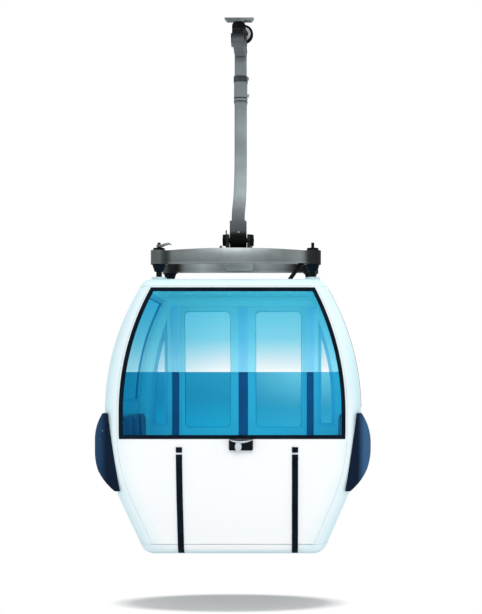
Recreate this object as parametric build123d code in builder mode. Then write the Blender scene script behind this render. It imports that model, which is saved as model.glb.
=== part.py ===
from build123d import *
from math import cos, radians, sin, sqrt, tan
import os

os.makedirs("parts", exist_ok=True)

# An eight-seat gondola cabin with its hanger arm and rope grip. Millimetres.
# X runs along the rope, Y across it with the doors at +Y, Z up. The origin is on the
# axis of the rope, in the middle of the grip's jaws.

# ---- Driving dimensions: the cabin body -------------------------------------------
ROPE_TO_ROOF = 2171
CABIN_HEIGHT = 2204
BELT_DROP = 1056  # roof down to the widest level
BELT_BAND = 135  # the upright band below that level
HALF_LENGTH = 1015
ROOF_HALF_LENGTH = 711
END_FLANK_RADIUS = 1508
END_FLANK_ANGLE = 22.5
HALF_WIDTH = 915
ROOF_HALF_WIDTH = 790
SIDE_FLANK_RADIUS = 2600
SIDE_FLANK_ANGLE = 13
CORNER_RADIUS = 125
ROOF_EDGE_RADIUS = 88
FLOOR_EDGE_RADIUS = 108
WALL = 30
FLOOR_DEPTH = 90
ROOF_SEAM_DROP = 61  # roof down to the joint with the walls
RIB_POCKETS = (3, 2)
POCKET_LENGTH = 360
POCKET_WIDTH = 560
POCKET_DEPTH = 45
RIB = 40
REACH = 1400  # longer than any half size of the body, for cuts that go right through

ROOF_Z = -ROPE_TO_ROOF
FLOOR_Z = ROOF_Z - CABIN_HEIGHT
BELT_Z = ROOF_Z - BELT_DROP
BAND_Z = BELT_Z - BELT_BAND
ROOF_SEAM = ROOF_Z - ROOF_SEAM_DROP
FLOOR_TOP = FLOOR_Z + FLOOR_DEPTH

# ---- Driving dimensions: windows and their seals -----------------------------------
SIDE_LIGHT_END = 130  # from the body's end to the closed side's window, at the belt
SIDE_LIGHT_ROOF_END = 102  # the same where its curved edges would meet the roof
SIDE_LIGHT_TOP = ROOF_Z - 74
SIDE_LIGHT_HEIGHT = 1193
SIDE_LIGHT_SILL = SIDE_LIGHT_TOP - SIDE_LIGHT_HEIGHT
SEAM_MARGIN = 15  # from a window's edge to the joint between two panels
END_LIGHT_SIDE = 137  # from the body's side to an end window, at the belt
END_LIGHT_ROOF_SIDE = 135
END_LIGHT_SILL = BELT_Z + 32
SEAL_WIDTH = 30
SEAL_PROUD = 4
SEAL_DEPTH = 26
GLASS_SET_BACK = 8
GLASS = 6
GLASS_EDGE = 12  # how far a pane reaches into its seal
CORNER_POST = 125  # between the doorway and the narrow window beside it

SIDE_LIGHT_HALF = HALF_LENGTH - SIDE_LIGHT_END
SIDE_LIGHT_ROOF_HALF = ROOF_HALF_LENGTH - SIDE_LIGHT_ROOF_END
END_LIGHT_HALF = HALF_WIDTH - END_LIGHT_SIDE
END_LIGHT_ROOF_HALF = ROOF_HALF_WIDTH - END_LIGHT_ROOF_SIDE

# ---- Driving dimensions: doors ------------------------------------------------------
DOORWAY_END = 415  # from the body's end to the doorway
DOORWAY_HALF = HALF_LENGTH - DOORWAY_END
CORNER_LIGHT_INNER = DOORWAY_HALF + CORNER_POST
DOORWAY_TOP = ROOF_Z - 119
JAMB_FOOT = 35  # least width of the portal beside the doorway, down to the floor
LEAF_GAP = 10
LEAF = 32
LEAF_LAP = 40
LEAF_TOP = ROOF_Z - 72
LEAF_BOTTOM = FLOOR_TOP - 20
EDGE_SEAL = 43
EDGE_GAP = 3
LEAF_GLASS_INNER = 120
LEAF_STILE = 35  # from the doorway's edge in to the leaf's pane
LEAF_GLASS_OUTER = DOORWAY_HALF - LEAF_STILE
LEAF_GLASS_TOP = DOORWAY_TOP - 42
LEAF_GLASS_SILL = SIDE_LIGHT_SILL - 15
LEAF_GLASS_CORNER = 45
JAMB_COVER = 65
JAMB_SET_BACK = 15
JAMB_COVER_DEPTH = 12
HANGER_XS = (85, 205)
HANGER_WIDTH = 60
HANGER_STRIP = 8
RAIL_OVERHANG = 55  # how far the rail runs past the doorway
RAIL_WIDTH = 28
RAIL_HEIGHT = 40
RAIL_Y = 694
RAIL_ROLLER_RADIUS = 15
RAIL_ROLLER_WIDTH = 18
ROLLER_TOP_GAP = 3
RUN_GAP = 0.3
TONGUE = 8
TONGUE_DROP = 18
GUIDE_BAR = 16
GUIDE_OVERHANG = 90
GUIDE_GAP = 5  # to the leaf's tongues
GUIDE_TOP_GAP = 7
GUIDE_BRACKET = 120

# ---- Driving dimensions: bumpers, strips, latch -------------------------------------
BUMPER_TOP = BELT_Z - 10
BUMPER_HEIGHT = 616
BUMPER_BULGE = 76
BUMPER_BULGE_DROP = 275
BUMPER_CORNER = 110
BUMPER_TOP_INSET = 2  # the outer face's top and foot, in from the body's end
BUMPER_FOOT_INSET = 90
BUMPER_ROOT = 38  # how far the pad reaches back behind its outer face
BUMPER_SIDE_INSET = 4
STRIP_OFFSET = 38  # the two strips and the latch stand this far off the middle
STRIP_SPACING = 906
STRIP_WIDTH = 48
STRIP_PROUD = 9
STRIP_TOP = SIDE_LIGHT_SILL - 122
STRIP_FOOT = 15  # from the floor's underside up to the strips
STUD_HEIGHT = 42
STUD_GAP = 16
LATCH_X = 70
LATCH_LENGTH = 186
LATCH_HEIGHT = 84
LATCH_PROUD = 34
LATCH_CORNER = 10
LATCH_TOP = SIDE_LIGHT_SILL - 3
LEDGE_HEIGHT = 16
LEDGE_PROUD = 48
LEDGE_DIP = 9  # the ledge's ends stand this much above its middle
LATCH_KNOB_X = 51
LATCH_KNOB_DROP = 52
LATCH_KNOB = (27, 38)  # half width, half height
LATCH_KNOB_PROUD = 70
LATCH_KNOB_EDGE = 12

# ---- Driving dimensions: seats -------------------------------------------------------
BENCH_GAP = 0.3
BENCH_DEPTH = 455
BENCH_HALF_WIDTH = 770
SEAT_HEIGHT = 370
CUSHION = 70
CUSHION_DEPTH = 535
BACK = 70
BACK_TOP = SIDE_LIGHT_SILL + 160
BACK_GAP = 40

# ---- Driving dimensions: suspension frame --------------------------------------------
BEAM_Y = 375
POST_X = 642
POST_RADIUS = 24
PAD_HEIGHT = 45
PAD_RADIUS = 74
PAD_TAPER = 12
BEAM_BOTTOM = ROOF_Z + 164
BEAM_END_HEIGHT = 100
BEAM_MID_HEIGHT = 128
BEAM_WEB = 60
BEAM_FLANGE = 94
FLANGE_HEIGHT = 14
BOSS_RADIUS = 69
BOSS_DROP = 10
BOSS_HEIGHT = 116
CAP_RADIUS = 48
CAP_HEIGHT = 20
KNOB_RADIUS = 13
KNOB_HEIGHT = 46
CONE_HEIGHT = 60
CONE_RADIUS = 58
CONE_FOOT_RADIUS = 38
CROSS_BOTTOM = BEAM_BOTTOM + 6
CROSS_HEIGHT = 112
STRUT_RADIUS = 17
STRUT_FOOT_RADIUS = 34
STRUT_HEAD_RADIUS = 24
STRUT_FOOT_X = 430
STRUT_HEAD_X = 545

# ---- Driving dimensions: pivot and hanger arm -----------------------------------------
PIVOT_Z = -1765
PIVOT_PIN_RADIUS = 20
PIN_CLEARANCE = 0.1
EAR_X = 92
EAR = 25
EAR_RADIUS = 55
EAR_FOOT_HALF = 85
EAR_NECK = (3, 20)  # in from the eye's side, down from its middle
PIN_HALF = 137
NUT_RADIUS = 56
NUT = 30
NUT_SLOTS = 6
NUT_SLOT = 17
NUT_SLOT_DEPTH = 14
FOOT_RADIUS = 66
FOOT_HALF = 72
SOCKET_DEPTH = 124
SOCKET_TOP = PIVOT_Z + 165
SOCKET_CORNER = 22
ARM_ROOT = 10  # how far the tube runs down into its foot
ARM_WIDTH = 112
ARM_DEPTH = 92
ARM_CORNER = 26
ARM_Y = 430
ARM_LOW_BEND = (-1540, 110)  # height, radius
ARM_HIGH_BEND = (-1230, 600)  # height, radius
SPLICE_BOTTOM = -452
SPLICE_TOP = -206
SPLICE_WALL = 4
UPPER_ARM_WIDTH = 110
UPPER_ARM_DEPTH = 88
HEAD_RADIUS = 58

# ---- Driving dimensions: the grip -------------------------------------------------------
ROPE_RADIUS = 20
JAW_HALF = 52
FIXED_JAW_HALF = 65
JAW_GAP = 3
JAW_BOTTOM = -26
JAW_TOP = 48
JAW_OUTER = -46
JAW_ARM = 30
JAW_CORNER = 16
HOUSING_FRONT = 90
HOUSING_BACK = 330
HOUSING_HALF = 52
HOUSING_BOTTOM = -44
HOUSING_TOP = 86
HOUSING_CORNER = 14
HOOD_TOP = 186
HOOD_HALF = 60
HOOD_CORNER = 44
HOOD_LIP = 18
PLATE_LENGTH = 262
PLATE_WIDTH = 70
PLATE_Y = 170
PLATE = 22
PLATE_TAPER = 22
PEDESTAL_HALF = 40
PEDESTAL = 26
PEDESTAL_DIP = 14
HANGER_PIN_Z = 40
HANGER_PIN_RADIUS = 28
HANGER_NUT_RADIUS = 47
HANGER_NUT = 20
HANGER_PIN_END = 8
HANGER_WASHER_GAP = 2
HANGER_SHOULDER = 4
ROLLER_X = 32
ROLLER_Z = 158
ROLLER_RADIUS = 85
ROLLER_WIDTH = 36
ROLLER_AXLE_RADIUS = 14
ROLLER_SIDE_GAP = 6
ROLLER_EDGE = 6
ROLLER_DISH = 8
ROLLER_RIM = 16
ROLLER_HUB_RADIUS = 30
SPRING_RADIUS = 34
SPRING_CAP = 16
SPRING_SET_FORWARD = 40

SIDES = (-1, 1)


def barrel(half, roof_half, flank_radius, flank_angle, inset=0):
    """Face of a barrel section: upright at the belt, curved in to roof and floor."""
    turn = radians(flank_angle)
    flank_x = half - flank_radius * (1 - cos(turn))
    flank_z = BAND_Z - flank_radius * sin(turn)
    floor_half = flank_x - (flank_z - FLOOR_Z) * tan(turn)
    with BuildSketch() as section:
        with BuildLine():
            Line((0, ROOF_Z), (roof_half, ROOF_Z))
            TangentArc((half, BELT_Z), (roof_half, ROOF_Z), tangent=(0, 1))
            Line((half, BELT_Z), (half, BAND_Z))
            TangentArc((half, BAND_Z), (flank_x, flank_z), tangent=(0, -1))
            Line((flank_x, flank_z), (floor_half, FLOOR_Z))
            Line((floor_half, FLOOR_Z), (0, FLOOR_Z))
            mirror(about=Plane.YZ)
        make_face()
        if inset:
            offset(amount=-inset, kind=Kind.INTERSECTION, mode=Mode.REPLACE)
    return section.sketch


def half_at(z, half, roof_half, flank_radius, flank_angle):
    """Half size of a barrel section at one height."""
    if z > BELT_Z:
        bulge = half - roof_half
        radius = (bulge ** 2 + BELT_DROP ** 2) / (2 * bulge)
        return half - radius + sqrt(radius ** 2 - (z - BELT_Z) ** 2)
    turn = radians(flank_angle)
    drop = max(BAND_Z - z, 0)
    if drop < flank_radius * sin(turn):
        return half - flank_radius + sqrt(flank_radius ** 2 - drop ** 2)
    flank_half = half - flank_radius * (1 - cos(turn))
    return flank_half - (drop - flank_radius * sin(turn)) * tan(turn)


def half_width_at(z):
    """Half width of the body at one height."""
    return half_at(z, HALF_WIDTH, ROOF_HALF_WIDTH, SIDE_FLANK_RADIUS, SIDE_FLANK_ANGLE)


def length_section(inset=0):
    """The body's section along the rope, seen from its sides."""
    return barrel(HALF_LENGTH, ROOF_HALF_LENGTH, END_FLANK_RADIUS, END_FLANK_ANGLE, inset)


def width_section(inset=0):
    """The body's section across the rope, seen from its ends."""
    return barrel(HALF_WIDTH, ROOF_HALF_WIDTH, SIDE_FLANK_RADIUS, SIDE_FLANK_ANGLE, inset)


def body_blank(inset, rounded=True):
    """The cabin's form as one solid, every face moved in by inset."""
    with BuildPart() as blank:
        with BuildSketch(Plane.XZ):
            add(length_section(inset))
        extrude(amount=REACH, both=True)
        with BuildSketch(Plane.YZ):
            add(width_section(inset))
        extrude(amount=REACH, both=True, mode=Mode.INTERSECT)
        if rounded:
            uprights = blank.edges().filter_by(lambda e: e.bounding_box().size.Z > 1)
            fillet(uprights, CORNER_RADIUS - inset)
            fillet(blank.faces().sort_by(Axis.Z)[-1].edges(), ROOF_EDGE_RADIUS - inset)
            fillet(blank.faces().sort_by(Axis.Z)[0].edges(), FLOOR_EDGE_RADIUS - inset)
    return blank.part


def light_outline(half, roof_half, top, sill, inset=0):
    """Outline of a window whose upright edges follow the barrel of the body."""
    with BuildSketch() as light:
        add(barrel(half, roof_half, END_FLANK_RADIUS, END_FLANK_ANGLE))
        with Locations((0, (top + sill) / 2)):
            Rectangle(2 * REACH, top - sill, mode=Mode.INTERSECT)
        if inset:
            offset(amount=-inset, kind=Kind.INTERSECTION, mode=Mode.REPLACE)
    return light.sketch


def corner_light(inset=0):
    """The two narrow windows beside the doorway, each pointed at its top."""
    with BuildSketch() as light:
        add(light_outline(SIDE_LIGHT_HALF, SIDE_LIGHT_ROOF_HALF, SIDE_LIGHT_TOP, SIDE_LIGHT_SILL))
        with Locations((0, (SIDE_LIGHT_TOP + SIDE_LIGHT_SILL) / 2)):
            Rectangle(2 * CORNER_LIGHT_INNER, 2 * SIDE_LIGHT_HEIGHT, mode=Mode.SUBTRACT)
        if inset:
            offset(amount=-inset, kind=Kind.INTERSECTION, mode=Mode.REPLACE)
    return light.sketch


def side_light(inset=0):
    """Window of the closed side."""
    return light_outline(
        SIDE_LIGHT_HALF, SIDE_LIGHT_ROOF_HALF, SIDE_LIGHT_TOP, SIDE_LIGHT_SILL, inset
    )


def end_light(inset=0):
    """Window of either end."""
    return light_outline(
        END_LIGHT_HALF, END_LIGHT_ROOF_HALF, SIDE_LIGHT_TOP, END_LIGHT_SILL, inset
    )


def side_field():
    """What lies between the two end panels, from the roof's joint to the floor's."""
    return light_outline(
        SIDE_LIGHT_HALF + SEAM_MARGIN,
        SIDE_LIGHT_ROOF_HALF + SEAM_MARGIN,
        ROOF_SEAM,
        FLOOR_TOP,
    )


OUTER = body_blank(0)
INNER = body_blank(WALL)
GLASS_OUTER = body_blank(GLASS_SET_BACK, rounded=False)
GLASS_INNER = body_blank(GLASS_SET_BACK + GLASS, rounded=False)
SEAL_OUTER = body_blank(-SEAL_PROUD, rounded=False)
SEAL_INNER = body_blank(SEAL_DEPTH - SEAL_PROUD, rounded=False)

# ---- Roof: one moulding with four raised pads for the suspension posts ---------------
with BuildPart() as roof_panel:
    add(OUTER)
    add(INNER, mode=Mode.SUBTRACT)
    with Locations((0, 0, ROOF_SEAM)):
        Box(2 * REACH, 2 * REACH, REACH, align=(Align.CENTER, Align.CENTER, Align.MIN),
            mode=Mode.INTERSECT)
    with BuildSketch(Plane.XY.offset(ROOF_Z - WALL / 2)):
        with GridLocations(2 * POST_X, 2 * BEAM_Y, 2, 2):
            Circle(PAD_RADIUS)
    extrude(amount=PAD_HEIGHT + WALL / 2, taper=PAD_TAPER)
roof_panel.part.label = "roof_panel"

# ---- Floor: a thick pan, ribbed underneath --------------------------------------------
with BuildPart() as floor_pan:
    add(OUTER)
    with Locations((0, 0, FLOOR_TOP)):
        Box(2 * REACH, 2 * REACH, REACH, align=(Align.CENTER, Align.CENTER, Align.MAX),
            mode=Mode.INTERSECT)
    with BuildSketch(Plane.XY.offset(FLOOR_Z)):
        with GridLocations(POCKET_LENGTH + RIB, POCKET_WIDTH + RIB, *RIB_POCKETS):
            RectangleRounded(POCKET_LENGTH, POCKET_WIDTH, RIB)
    extrude(amount=POCKET_DEPTH, mode=Mode.SUBTRACT)
floor_pan.part.label = "floor_pan"

# ---- Closed side: one panel with the large window cut through ---------------------------
with BuildPart() as closed_side_panel:
    add(OUTER)
    add(INNER, mode=Mode.SUBTRACT)
    with BuildSketch(Plane.XZ):
        add(side_field())
    extrude(amount=REACH, mode=Mode.INTERSECT)
    with BuildSketch(Plane.XZ):
        add(side_light())
    extrude(amount=REACH, mode=Mode.SUBTRACT)
closed_side_panel.part.label = "closed_side_panel"

with BuildPart() as closed_side_window:
    add(GLASS_OUTER)
    add(GLASS_INNER, mode=Mode.SUBTRACT)
    with BuildSketch(Plane.XZ):
        add(side_light(SEAL_WIDTH - GLASS_EDGE))
    extrude(amount=REACH, mode=Mode.INTERSECT)
closed_side_window.part.label = "closed_side_window"

with BuildPart() as closed_side_seal:
    add(SEAL_OUTER)
    add(SEAL_INNER, mode=Mode.SUBTRACT)
    with BuildSketch(Plane.XZ):
        add(side_light())
        add(side_light(SEAL_WIDTH), mode=Mode.SUBTRACT)
    extrude(amount=REACH, mode=Mode.INTERSECT)
    add(closed_side_window.part, mode=Mode.SUBTRACT)
closed_side_seal.part.label = "closed_side_seal"


def doorway():
    """Outline of the doorway, which leaves the portal a jamb on each side of it."""
    with BuildSketch() as way:
        with Locations((0, (DOORWAY_TOP + FLOOR_TOP) / 2)):
            Rectangle(2 * DOORWAY_HALF, DOORWAY_TOP - FLOOR_TOP)
        add(
            light_outline(
                SIDE_LIGHT_HALF + SEAM_MARGIN - JAMB_FOOT,
                SIDE_LIGHT_ROOF_HALF + SEAM_MARGIN - JAMB_FOOT,
                DOORWAY_TOP,
                FLOOR_TOP,
            ),
            mode=Mode.INTERSECT,
        )
    return way.sketch


# ---- Door side: a portal with the doorway and a narrow window on each side of it ---------
with BuildPart() as door_portal:
    add(OUTER)
    add(INNER, mode=Mode.SUBTRACT)
    with BuildSketch(Plane.XZ):
        add(side_field())
    extrude(amount=-REACH, mode=Mode.INTERSECT)
    with BuildSketch(Plane.XZ):
        add(doorway())
        add(corner_light())
    extrude(amount=-REACH, mode=Mode.SUBTRACT)
door_portal.part.label = "door_portal"

with BuildPart() as corner_panes:
    add(GLASS_OUTER)
    add(GLASS_INNER, mode=Mode.SUBTRACT)
    with BuildSketch(Plane.XZ):
        add(corner_light(SEAL_WIDTH - GLASS_EDGE))
    extrude(amount=-REACH, mode=Mode.INTERSECT)
corner_panes.part.label = "corner_panes"

with BuildPart() as corner_pane_seals:
    add(SEAL_OUTER)
    add(SEAL_INNER, mode=Mode.SUBTRACT)
    with BuildSketch(Plane.XZ):
        add(corner_light())
        add(corner_light(SEAL_WIDTH), mode=Mode.SUBTRACT)
    extrude(amount=-REACH, mode=Mode.INTERSECT)
    add(corner_panes.part, mode=Mode.SUBTRACT)
corner_pane_seals.part.label = "corner_pane_seals"

# ---- Ends: each panel turns round both corners and holds an end window ------------------
end_panels = []
for side, name in zip(SIDES, ("left", "right")):
    with BuildPart() as end_panel:
        add(OUTER)
        add(INNER, mode=Mode.SUBTRACT)
        with BuildSketch(Plane.XZ):
            with Locations((side * REACH / 2, (ROOF_SEAM + FLOOR_TOP) / 2)):
                Rectangle(REACH, ROOF_SEAM - FLOOR_TOP)
            add(side_field(), mode=Mode.SUBTRACT)
        extrude(amount=REACH, both=True, mode=Mode.INTERSECT)
        with BuildSketch(Plane.YZ):
            add(end_light())
        extrude(amount=side * REACH, mode=Mode.SUBTRACT)
    end_panel.part.label = "end_panel_" + name
    end_panels.append(end_panel.part)

with BuildPart() as end_windows:
    add(GLASS_OUTER)
    add(GLASS_INNER, mode=Mode.SUBTRACT)
    with BuildSketch(Plane.YZ):
        add(end_light(SEAL_WIDTH - GLASS_EDGE))
    extrude(amount=REACH, both=True, mode=Mode.INTERSECT)
end_windows.part.label = "end_windows"

with BuildPart() as end_window_seals:
    add(SEAL_OUTER)
    add(SEAL_INNER, mode=Mode.SUBTRACT)
    with BuildSketch(Plane.YZ):
        add(end_light())
        add(end_light(SEAL_WIDTH), mode=Mode.SUBTRACT)
    extrude(amount=REACH, both=True, mode=Mode.INTERSECT)
    add(end_windows.part, mode=Mode.SUBTRACT)
end_window_seals.part.label = "end_window_seals"


# ---- Doors: two leaves that run apart along the outside of the portal --------------------
def leaf_section(near, far, top, bottom):
    """Section of a leaf, near and far from the wall, between two heights."""
    with BuildSketch() as section:
        add(width_section(-far))
        add(width_section(-near), mode=Mode.SUBTRACT)
        with Locations((REACH / 2, (top + bottom) / 2)):
            Rectangle(REACH, top - bottom, mode=Mode.INTERSECT)
    return section.sketch


def leaf_pane():
    """Outline of the pane in the leaf at +X."""
    with BuildSketch() as pane:
        with Locations(
            ((LEAF_GLASS_INNER + LEAF_GLASS_OUTER) / 2, (LEAF_GLASS_TOP + LEAF_GLASS_SILL) / 2)
        ):
            RectangleRounded(
                LEAF_GLASS_OUTER - LEAF_GLASS_INNER,
                LEAF_GLASS_TOP - LEAF_GLASS_SILL,
                LEAF_GLASS_CORNER,
            )
    return pane.sketch


LEAF_FAR = LEAF_GAP + LEAF
LEAF_START = EDGE_GAP + EDGE_SEAL
LEAF_END = DOORWAY_HALF + LEAF_LAP
RAIL_TOP = ROOF_Z + RAIL_HEIGHT
ROLLER_AXIS_Z = RAIL_TOP + RUN_GAP + RAIL_ROLLER_RADIUS
HANGER_TOP = ROLLER_AXIS_Z + RAIL_ROLLER_RADIUS + ROLLER_TOP_GAP + HANGER_STRIP
LEAF_TOP_Y = half_width_at(LEAF_TOP) + LEAF_FAR
LEAF_FOOT_Y = half_width_at(LEAF_BOTTOM) + LEAF_FAR - TONGUE / 2

with BuildPart() as door_leaf_right:
    with BuildSketch(Plane.YZ.offset(LEAF_START)):
        add(leaf_section(LEAF_GAP, LEAF_FAR, LEAF_TOP, LEAF_BOTTOM))
    extrude(amount=LEAF_END - LEAF_START)
    with BuildSketch(Plane.XZ):
        add(leaf_pane())
    extrude(amount=-REACH, mode=Mode.SUBTRACT)
    for hanger_x in HANGER_XS:
        with BuildSketch(Plane.YZ.offset(hanger_x - HANGER_WIDTH / 2)):
            with BuildLine():
                Polyline(
                    (RAIL_Y - RAIL_WIDTH / 2, HANGER_TOP),
                    (LEAF_TOP_Y, HANGER_TOP),
                    (LEAF_TOP_Y, LEAF_TOP - HANGER_STRIP),
                    (LEAF_TOP_Y - HANGER_STRIP, LEAF_TOP - HANGER_STRIP),
                    (LEAF_TOP_Y - HANGER_STRIP, HANGER_TOP - HANGER_STRIP),
                    (RAIL_Y - RAIL_WIDTH / 2, HANGER_TOP - HANGER_STRIP),
                    close=True,
                )
            make_face()
        extrude(amount=HANGER_WIDTH)
        with BuildSketch(Plane.XZ.offset(-RAIL_Y + RAIL_ROLLER_WIDTH / 2)):
            with Locations((hanger_x, ROLLER_AXIS_Z)):
                Circle(RAIL_ROLLER_RADIUS)
            with Locations((hanger_x, (ROLLER_AXIS_Z + HANGER_TOP) / 2)):
                Rectangle(RAIL_ROLLER_RADIUS, HANGER_TOP - ROLLER_AXIS_Z)
        extrude(amount=-RAIL_ROLLER_WIDTH)
        with BuildSketch(Plane.XY.offset(LEAF_BOTTOM + TONGUE)):
            with Locations((hanger_x, LEAF_FOOT_Y)):
                Rectangle(HANGER_WIDTH, TONGUE)
        extrude(amount=-TONGUE_DROP - TONGUE)
door_leaf_right.part.label = "door_leaf_right"

with BuildPart() as door_glass_right:
    with BuildSketch(Plane.YZ.offset(LEAF_START)):
        add(leaf_section(LEAF_GAP + LEAF / 2 - GLASS, LEAF_GAP + LEAF / 2, LEAF_TOP, LEAF_BOTTOM))
    extrude(amount=LEAF_END - LEAF_START)
    with BuildSketch(Plane.XZ):
        add(leaf_pane())
    extrude(amount=-REACH, mode=Mode.INTERSECT)
door_glass_right.part.label = "door_glass_right"

with BuildPart() as door_edge_right:
    with BuildSketch(Plane.YZ.offset(EDGE_GAP)):
        add(leaf_section(LEAF_GAP, LEAF_FAR, LEAF_TOP, LEAF_BOTTOM))
    extrude(amount=EDGE_SEAL)
door_edge_right.part.label = "door_edge_right"

door_pieces = []
for piece in (door_leaf_right, door_glass_right, door_edge_right):
    with BuildPart() as twin:
        add(mirror(piece.part, about=Plane.YZ, mode=Mode.PRIVATE))
    twin.part.label = piece.part.label.replace("right", "left")
    door_pieces.extend((piece.part, twin.part))

with BuildPart() as jamb_covers:
    add(INNER)
    add(body_blank(WALL + JAMB_COVER_DEPTH, rounded=False), mode=Mode.SUBTRACT)
    with BuildSketch(Plane.XZ):
        with Locations(
            *[(side * (DOORWAY_HALF + JAMB_SET_BACK + JAMB_COVER / 2),
               (DOORWAY_TOP + FLOOR_TOP) / 2) for side in SIDES]
        ):
            Rectangle(JAMB_COVER, DOORWAY_TOP - FLOOR_TOP)
    extrude(amount=-REACH, mode=Mode.INTERSECT)
jamb_covers.part.label = "jamb_covers"

with BuildPart() as door_top_rail:
    with BuildSketch(Plane.XY.offset(ROOF_Z)):
        with Locations((0, RAIL_Y)):
            Rectangle(2 * (DOORWAY_HALF + RAIL_OVERHANG), RAIL_WIDTH)
    extrude(amount=RAIL_HEIGHT)
door_top_rail.part.label = "door_top_rail"

GUIDE_TOP = LEAF_BOTTOM - GUIDE_TOP_GAP
GUIDE_BOTTOM = LEAF_BOTTOM - TONGUE_DROP - GUIDE_GAP
GUIDE_Y = LEAF_FOOT_Y + TONGUE / 2 + GUIDE_GAP
GUIDE_HALF = DOORWAY_HALF + GUIDE_OVERHANG
with BuildPart() as door_bottom_guide:
    with BuildSketch(Plane.XY.offset(GUIDE_BOTTOM)):
        with Locations((0, GUIDE_Y + GUIDE_BAR / 2)):
            Rectangle(2 * GUIDE_HALF, GUIDE_BAR)
    extrude(amount=GUIDE_TOP - GUIDE_BOTTOM)
    with BuildSketch(Plane.XY.offset(GUIDE_BOTTOM)):
        with GridLocations(GUIDE_HALF, 0, 3, 1):
            with Locations((0, GUIDE_Y + GUIDE_BAR - GUIDE_BRACKET / 2)):
                Rectangle(HANGER_WIDTH, GUIDE_BRACKET)
    extrude(amount=-HANGER_STRIP)
    add(OUTER, mode=Mode.SUBTRACT)
door_bottom_guide.part.label = "door_bottom_guide"

# ---- Bumpers: lens-shaped pads round the ends ---------------------------------------------
BUMPER_BOTTOM = BUMPER_TOP - BUMPER_HEIGHT
bumpers = []
for side, name in zip(SIDES, ("left", "right")):
    top_x = side * (HALF_LENGTH - BUMPER_TOP_INSET)
    bulge_x = side * (HALF_LENGTH + BUMPER_BULGE)
    foot_x = side * (HALF_LENGTH - BUMPER_FOOT_INSET)
    with BuildPart() as bumper:
        with BuildSketch(Plane.XZ):
            with BuildLine():
                ThreePointArc(
                    (top_x, BUMPER_TOP),
                    (bulge_x, BUMPER_TOP - BUMPER_BULGE_DROP),
                    (foot_x, BUMPER_BOTTOM),
                )
                Polyline(
                    (foot_x, BUMPER_BOTTOM),
                    (foot_x - side * BUMPER_ROOT, BUMPER_BOTTOM),
                    (top_x - side * BUMPER_ROOT, BUMPER_TOP),
                    (top_x, BUMPER_TOP),
                )
            make_face()
        extrude(amount=REACH, both=True)
        with BuildSketch(Plane.XY.offset(BUMPER_BOTTOM)):
            RectangleRounded(2 * (HALF_LENGTH + BUMPER_BULGE), 2 * HALF_WIDTH, BUMPER_CORNER)
        extrude(amount=BUMPER_HEIGHT, mode=Mode.INTERSECT)
        with BuildSketch(Plane.YZ):
            add(width_section(BUMPER_SIDE_INSET))
        extrude(amount=side * REACH, mode=Mode.INTERSECT)
        add(OUTER, mode=Mode.SUBTRACT)
    bumper.part.label = "bumper_" + name
    bumpers.append(bumper.part)

# ---- Closed side's fittings: two protective strips with studs, and the window latch --------
PROUD = body_blank(-STRIP_PROUD)
strip_xs = [STRIP_OFFSET + side * STRIP_SPACING / 2 for side in SIDES]
STRIP_LENGTH = STRIP_TOP - FLOOR_Z - STRIP_FOOT
with BuildPart() as guard_strips:
    add(PROUD)
    add(OUTER, mode=Mode.SUBTRACT)
    with BuildSketch(Plane.XZ):
        with Locations(*[(x, STRIP_TOP - STRIP_LENGTH / 2) for x in strip_xs]):
            Rectangle(STRIP_WIDTH, STRIP_LENGTH)
        with Locations(*[(x, STRIP_TOP + STUD_GAP + STUD_HEIGHT / 2) for x in strip_xs]):
            Rectangle(STRIP_WIDTH, STUD_HEIGHT)
    extrude(amount=REACH, mode=Mode.INTERSECT)
guard_strips.part.label = "guard_strips"

LATCH_FACE = HALF_WIDTH - WALL
with BuildPart() as window_latch:
    with BuildSketch(Plane.XZ.offset(LATCH_FACE)):
        with Locations((LATCH_X, LATCH_TOP - LATCH_HEIGHT / 2)):
            RectangleRounded(LATCH_LENGTH, LATCH_HEIGHT, LATCH_CORNER)
    extrude(amount=LATCH_PROUD + WALL)
    with BuildSketch(Plane.XZ.offset(LATCH_FACE)):
        with BuildLine():
            ThreePointArc(
                (LATCH_X - LATCH_LENGTH / 2, LATCH_TOP),
                (LATCH_X, LATCH_TOP - LEDGE_DIP),
                (LATCH_X + LATCH_LENGTH / 2, LATCH_TOP),
            )
            ThreePointArc(
                (LATCH_X + LATCH_LENGTH / 2, LATCH_TOP),
                (LATCH_X, LATCH_TOP - LEDGE_DIP - LEDGE_HEIGHT),
                (LATCH_X - LATCH_LENGTH / 2, LATCH_TOP),
            )
        make_face()
    extrude(amount=LEDGE_PROUD + WALL)
    with BuildSketch(Plane.XZ.offset(LATCH_FACE)):
        with Locations((LATCH_KNOB_X, LATCH_TOP - LATCH_KNOB_DROP)):
            Ellipse(*LATCH_KNOB)
    extrude(amount=LATCH_KNOB_PROUD + WALL)
    fillet(window_latch.faces().sort_by(Axis.Y)[0].edges(), LATCH_KNOB_EDGE)
    add(OUTER, mode=Mode.SUBTRACT)
    add(closed_side_seal.part, mode=Mode.SUBTRACT)
window_latch.part.label = "window_latch"

# ---- Benches: a plinth, a cushion and a back pad at each end --------------------------------
ROOM = body_blank(WALL + BENCH_GAP)
PAD_FACE = body_blank(WALL + BENCH_GAP + BACK, rounded=False)
SEAT_Z = FLOOR_TOP + SEAT_HEIGHT
bench_pieces = []
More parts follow.
